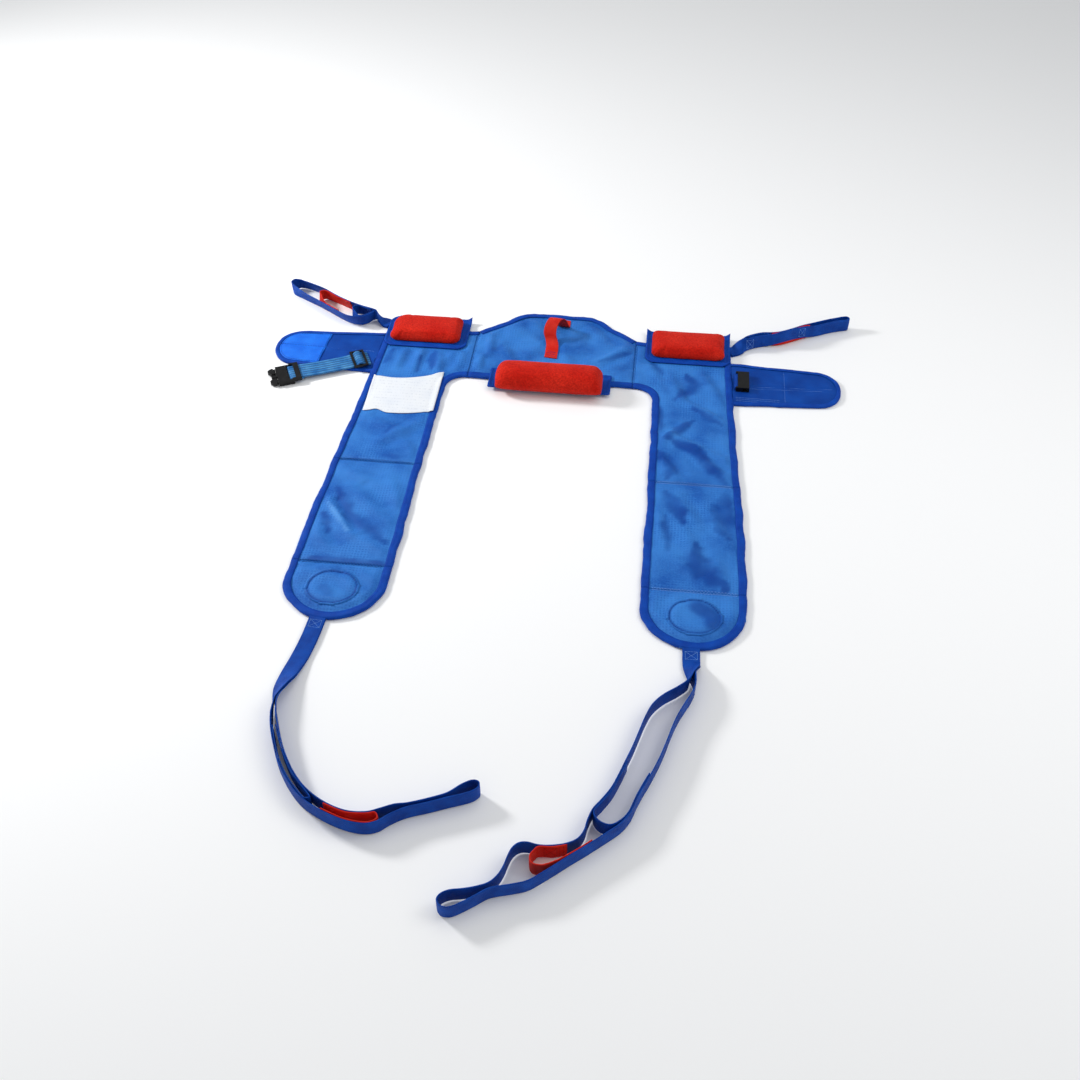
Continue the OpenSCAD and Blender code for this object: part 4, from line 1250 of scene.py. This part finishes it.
# Right shoulder strap
RU_TRUNK = [(421, 57, 0), (432, 62, 25), (443, 68, 70)]
RU_NEAR = [
    (456, 72), (472, 81), (489, 88), (510, 91, 90, 4), (532, 97, 90, 9), (560, 113, 90, 9), (588, 131, 90, 4),
    (612, 143), (645, 160), (668, 170), (684, 175), (693, 181),
]
RU_FAR = [
    (450, 82), (466, 92), (484, 100), (506, 103), (527, 109), (554, 124), (582, 142), (606, 154), (639, 171),
    (662, 181), (676, 187), (688, 189),
]
RU_SHORT = [(496, 92), (500, 95), (495, 98)]
RU_RED = [(593, 138), (597, 142), (591, 143)]

TO_CAMERA = (0, -1, 0.4)


def root_box(b, strip):
    """The sewn box where a leg strap leaves the panel."""
    for s in (24, strip.length - 24):
        strip.box_x(b, s, 18, strip.facing(s, UP))


def shoulder_boxes(b, strip):
    for x, y in ((456, 74), (578, 125)):
        s = strip.near(x, y, 0.5)
        strip.box_x(b, s, 17, strip.facing(s, TO_CAMERA))


def bars(b, strip):
    """Two bars of stitches across each end of a loop."""
    h = strip.width / 2 - 3
    for s in (6, 12, strip.length - 12, strip.length - 6):
        strip.sew(b, [(s, -h), (s, h)], strip.facing(s, TO_CAMERA), BAR_STITCH)


def crossed(b, strip):
    bars(b, strip)
    for s in (26, strip.length - 26):
        strip.box_x(b, s, 20, strip.facing(s, TO_CAMERA))


def strap_set(side, kind, root, trunk, near, far, short, red, extra, red_extra):
    """One strap with its short and red loops."""
    body, parent = f"{side}_{kind}_strap", f"{side}_leg_tip" if kind == "leg" else "sling_back"
    a, b = np.array(root[:2], float), np.array(trunk[0][:2], float)
    flex = (parent, body, (*(a * MM), 0.0), (*((b + (b - a) * 0.6) * MM), 0.0))
    main, blue = Strip(long_loop([root] + trunk, near, far)), [WEB, THREAD_PALE]
    webbing_piece(f"{body}_webbing", main, None, [body], blue, flex, extra)
    for what, st, slot, mats, sewn in (
        ("short", short, "strap_webbing", blue, bars),
        ("red", red, "red_webbing", [WEB_RED, THREAD_RED], red_extra),
    ):
        node = f"{side}_{kind}_{what}_loop"
        webbing_piece(node + "_webbing", Strip(st), body, [node], mats, None, sewn)


LL_LOOPS = (short_loop(LL_NEAR[1:6], LL_FAR[1:6], LL_SHORT), short_loop(LL_NEAR[6:9], LL_FAR[6:9], LL_RED))
RL_LOOPS = (
    short_loop(RL_NEAR[7:12], RL_FAR[7:11], RL_SHORT),
    beside(laid(RL_NEAR[15:18]), -LEG_IN) + laid(RL_RED[::-1]) + beside(laid(RL_FAR[13:16]), LEG_IN)[::-1],
)
LU_LOOPS = (short_loop(LU_NEAR[0:2], LU_FAR[0:3], LU_SHORT), short_loop(LU_NEAR[2:4], LU_FAR[4:6], LU_RED))
RU_LOOPS = (
    short_loop(RU_NEAR[0:3], RU_FAR[0:3], RU_SHORT),
    short_loop([p[:2] for p in RU_NEAR[3:7]], RU_FAR[3:7], RU_RED),
)
strap_set("left", "leg", (-354, -872, 0), LL_TRUNK, LL_NEAR, LL_FAR, *LL_LOOPS, root_box, bars)
strap_set("right", "leg", (341, -872, 0), RL_TRUNK, RL_NEAR, RL_FAR, *RL_LOOPS, root_box, crossed)
strap_set("left", "shoulder", (-408, 77, 0), LU_TRUNK, LU_NEAR, LU_FAR, *LU_LOOPS, None, bars)
strap_set("right", "shoulder", (408, 51, 0), RU_TRUNK, RU_NEAR, RU_FAR, *RU_LOOPS, shoulder_boxes, bars)

# Carrying handle
HANDLE_Z = 7.65
HANDLE = [
    (-8, -22, HANDLE_Z), (-8, 8, HANDLE_Z), (-9, 28, HANDLE_Z + 0.8), (-12, 41, 13.5), (-17, 50, 27),
    (-14, 64, 42), (-6, 78, 49), (3, 90, 40), (8, 98, 22), (11, 106, 10),
    (11, 115, HANDLE_Z), (11, 134, HANDLE_Z),
]


def handle_stitches(b, strip):
    side = strip.facing(10, UP)
    strip.sew(b, [(4 + 4.2 * k, -11 if k % 2 else 11) for k in range(6)], side, HANDLE_ZIGZAG)
    for s in (3, strip.length - 4, strip.length - 15):
        strip.sew(b, [(s, -12.5), (s, 12.5)], side, HANDLE_STITCH)


across = unit((1, -0.12, 0))
strip = Strip([(np.array(p, float), across) for p in HANDLE], WEB_W - 2)
webbing_piece("carry_handle_webbing", strip, "sling_back", ["carry_handle"],
              [WEB_RED, THREAD_DARK], None, handle_stitches)


# ---------------------------------------------------------------- belt
EDGE_Y, EDGE_X = (-300, -120, 10, 76), (425, 417, 413, 411)
FLAP_IN = -8


def flap_to_world(pts, s):
    """From the flap's own plane to the sling's, with its sewn edge kept against the side panel's edge."""
    p = np.asarray(pts, float)
    x, y = p[:, 0] + FLAP_X, p[:, 1] + FLAP_Y[s]
    x = np.maximum(x, np.interp(y, EDGE_Y, EDGE_X) - 0.4)
    return np.column_stack([x * s, y])


def quilt_line(x, s):
    """Where the row of stitches along a flap's middle runs."""
    return -9 + 0.05 * x if s > 0 else 2 + 0.02 * x


def flap_height(pts, s):
    x, y = pts[:, 0], pts[:, 1]
    soft = 1 - bell(np.clip(nearest(pts, FLAP_EDGE)[0] - 7, 0, None), 0, 11)
    z = 4.6 + 2.4 * soft
    z -= soft * (2.0 * bell(y, quilt_line(x, s), 3.2) + 0.9 * bell(y, quilt_line(x, s) - 9, 2.5))
    if s > 0:
        z -= 1.5 * soft * bell(x, CROSS_ROW_X, 2.6)
    return z + soft * (0.9 * wobbles(pts, 46, 5.0 + s) + 0.4 * wobbles(pts, 15, 9.0))


FLAP_EDGE = dense(np.array(FLAP, float), 2.0)
CROSS_ROW_X = 115


def flap_row(b, row, s, above, kind):
    """A row of stitches on a flap, in the flap's own plane."""
    r = np.array(row, float)
    path = np.column_stack([flap_to_world(r, s), flap_height(r, s if kind == FLAP_STITCH else 0) + above])
    b.add(*stitches(path, UP, kind), mat=1)


def flap(s, side):
    blend = ("sling_back", f"{side}_belt", (s * 0.4135, 0, 0), (s * 0.4260, 0, 0))
    pts, quads = grid(inset(np.array(FLAP, float), 2.5), 3.6, (FLAP_IN, -FAR))
    if s < 0:
        quads = quads[:, ::-1]
    b = Build().add(*slab(flap_to_world(pts, s), quads, flap_height(pts, s), np.full(len(pts), 0.9)))
    rows = [[(x, quilt_line(x, s)) for x in range(6, 226, 4)]]
    if s > 0:
        rows += [[(x, quilt_line(x, s) - 9) for x in range(6, 200, 4)]]
        rows += [[(CROSS_ROW_X, y) for y in range(-56, 57, 4)]]
        rows += [[(x, -62 + k * 5) for x in range(4, 108, 4)] for k in range(3)]
    for row in rows:
        flap_row(b, row, s, 0.1, FLAP_STITCH)
    ob = outward(b.done(f"{side}_flap_cloth", [BELT, THREAD_PALE]))
    place_piece(ob, None, [f"{side}_belt_flap"], blend)
    edge = [to_ends(r, [(0, FLAP_IN)]) for r in runs(FLAP, lambda q: q[0] > FLAP_IN)]
    world = [r[::-1] * (-1, 1) + (-FLAP_X, FLAP_Y[s]) if s < 0 else r + (FLAP_X, FLAP_Y[s]) for r in edge]
    tape, node = f"{side}_flap_binding_tape", f"{side}_belt_binding"
    bind(tape, world, None, node, blend, 7.0 + s, lip=0.65, wave=0.7, tall=0.84)


def hook_patch():
    line = inset(np.array(FLAP, float), 11)[1:-1]
    poly = np.vstack([[(127, -58.5)], line, [(119, 58.5)]])
    pts, quads = grid(poly, 3.0)
    z = flap_height(pts, 0) + 0.6 + 0.5 * bell(nearest(pts, dense(poly, 1.5))[0], 3, 1.6)
    z -= 1.1 * bell(pts[:, 1], 3 + 0.02 * pts[:, 0], 3.2)
    b = Build().add(*slab(flap_to_world(pts, -1), quads[:, ::-1], z + 0.9, z - 0.4))
    rim = dense(inset(poly, 3.2), 3.0)
    flap_row(b, np.vstack([rim, rim[:1]]), -1, 1.9, HOOK_STITCH)
    flap_row(b, [(x, 3 + 0.02 * x) for x in range(124, 232, 4)], -1, 0.9, HOOK_STITCH)
    ob = outward(b.done("left_hook_patch_tape", [HOOK, THREAD_DARK]))
    place_piece(ob, "left_belt", ["left_hook_patch"])


flap(-1, "left")
flap(1, "right")
hook_patch()

# Waist strap: one strip, through the slider, over the plug's bar and sewn back on itself
WAIST_W, WAIST_AT, WAIST_ANGLE, CORD_PITCH = 50, (-430, -73), 205, 8.3
SLIDER_X, SLIDER_Z, BAR_X, BAR_Z = 7, 13.5, 184.5, 6.8
THREAD_DROP = 3.4 / 2 + WEB_T / 2 + 0.4
WRAP_R = 2.5 + 0.4 + WEB_T / 2
MID = SLIDER_X + 5 + 9 + 2.5
HEM = (BAR_X - 31.5, 10.5)


def turned(x, z, r, start, end):
    """Points round a bar in steps of 30 degrees."""
    return arc((x, z), r, r, start, end, round(abs(end - start) / 30))


LOW, HIGH = SLIDER_Z - THREAD_DROP, SLIDER_Z + THREAD_DROP
WAIST_PATH = [
    (0, 9.2), (SLIDER_X + 1, LOW), (SLIDER_X + 6.5, LOW + 0.6), (MID - 3.5, HIGH - 0.2), (MID, HIGH),
    (MID + 3.5, HIGH - 0.2), (MID + 10, LOW + 0.6), (MID + 17, LOW), (60, 9.2), (HEM[0] - 33, 9), HEM,
    (BAR_X - 10.5, BAR_Z + WRAP_R),
]
WAIST_PATH += turned(BAR_X, BAR_Z, WRAP_R, 90, -90)
WAIST_PATH += [(BAR_X - 7.5, 3.4), (BAR_X - 13.5, 5.6), (BAR_X - 19.5, 7.3), (BAR_X - 27.5, 7.5)]
along = np.array([math.cos(math.radians(WAIST_ANGLE)), math.sin(math.radians(WAIST_ANGLE)), 0])
crosswise = np.array([-along[1], along[0], 0])


def waist_point(x, z):
    return np.array([*WAIST_AT, z], float) + along * x


def hem_rows(b, strip):
    s = strip.near(*waist_point(HEM[0], 0)[:2], 0.75)
    for k in (-1.5, 2.5):
        strip.sew(b, [(s + k, -22), (s + k, 22)], strip.facing(s, UP), HEM_STITCH)


strip = Strip([(waist_point(x, z), crosswise) for x, z in WAIST_PATH], WAIST_W, WEB_T, 3.0, CORD_PITCH)
bend_at = [tuple(waist_point(HEM[0] + k, 0) * MM) for k in (-5, 5)]
webbing_piece("waist_webbing", strip, None, ["waist_strap", "strap_end"], [WAIST, THREAD],
              ("waist_strap", "buckle_plug", bend_at[0], bend_at[1]), hem_rows)

# Webbing tab that holds the socket's bar
TAB_X, TAB_Z, TAB_R, TAB_Y = 426.5, 11.9 + 0.1, 2.2 + 0.4 + WEB_T / 2, -72
TAB_PATH = [(420, 9.0), (423.5, TAB_Z - TAB_R + 0.1)]
TAB_PATH += turned(TAB_X, TAB_Z, TAB_R, -90, 90) + [(423, TAB_Z + 2.6), (420.4, 12.1)]
tab = [(np.array([x, TAB_Y, z]), np.array([0.0, 1.0, 0.0])) for x, z in TAB_PATH]
strip = Strip(tab, WAIST_W, WEB_T, 2.0, CORD_PITCH)
webbing_piece("socket_tab_webbing", strip, "right_belt", ["socket_tab"], [WEB, THREAD])


# ---------------------------------------------------------------- plastic parts: CAD solids with eased edges
for name in ("strap_slider", "buckle_plug", "upper_prong", "lower_prong", "buckle_socket"):
    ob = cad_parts[name]
    ob.data.materials.clear()
    ob.data.materials.append(PLASTIC)
    mod = ob.modifiers.new("eased_edges", "BEVEL")
    mod.width, mod.segments = 0.6 * MM, 2
    mod.limit_method, mod.angle_limit = "ANGLE", math.radians(40)
    mod.harden_normals = False
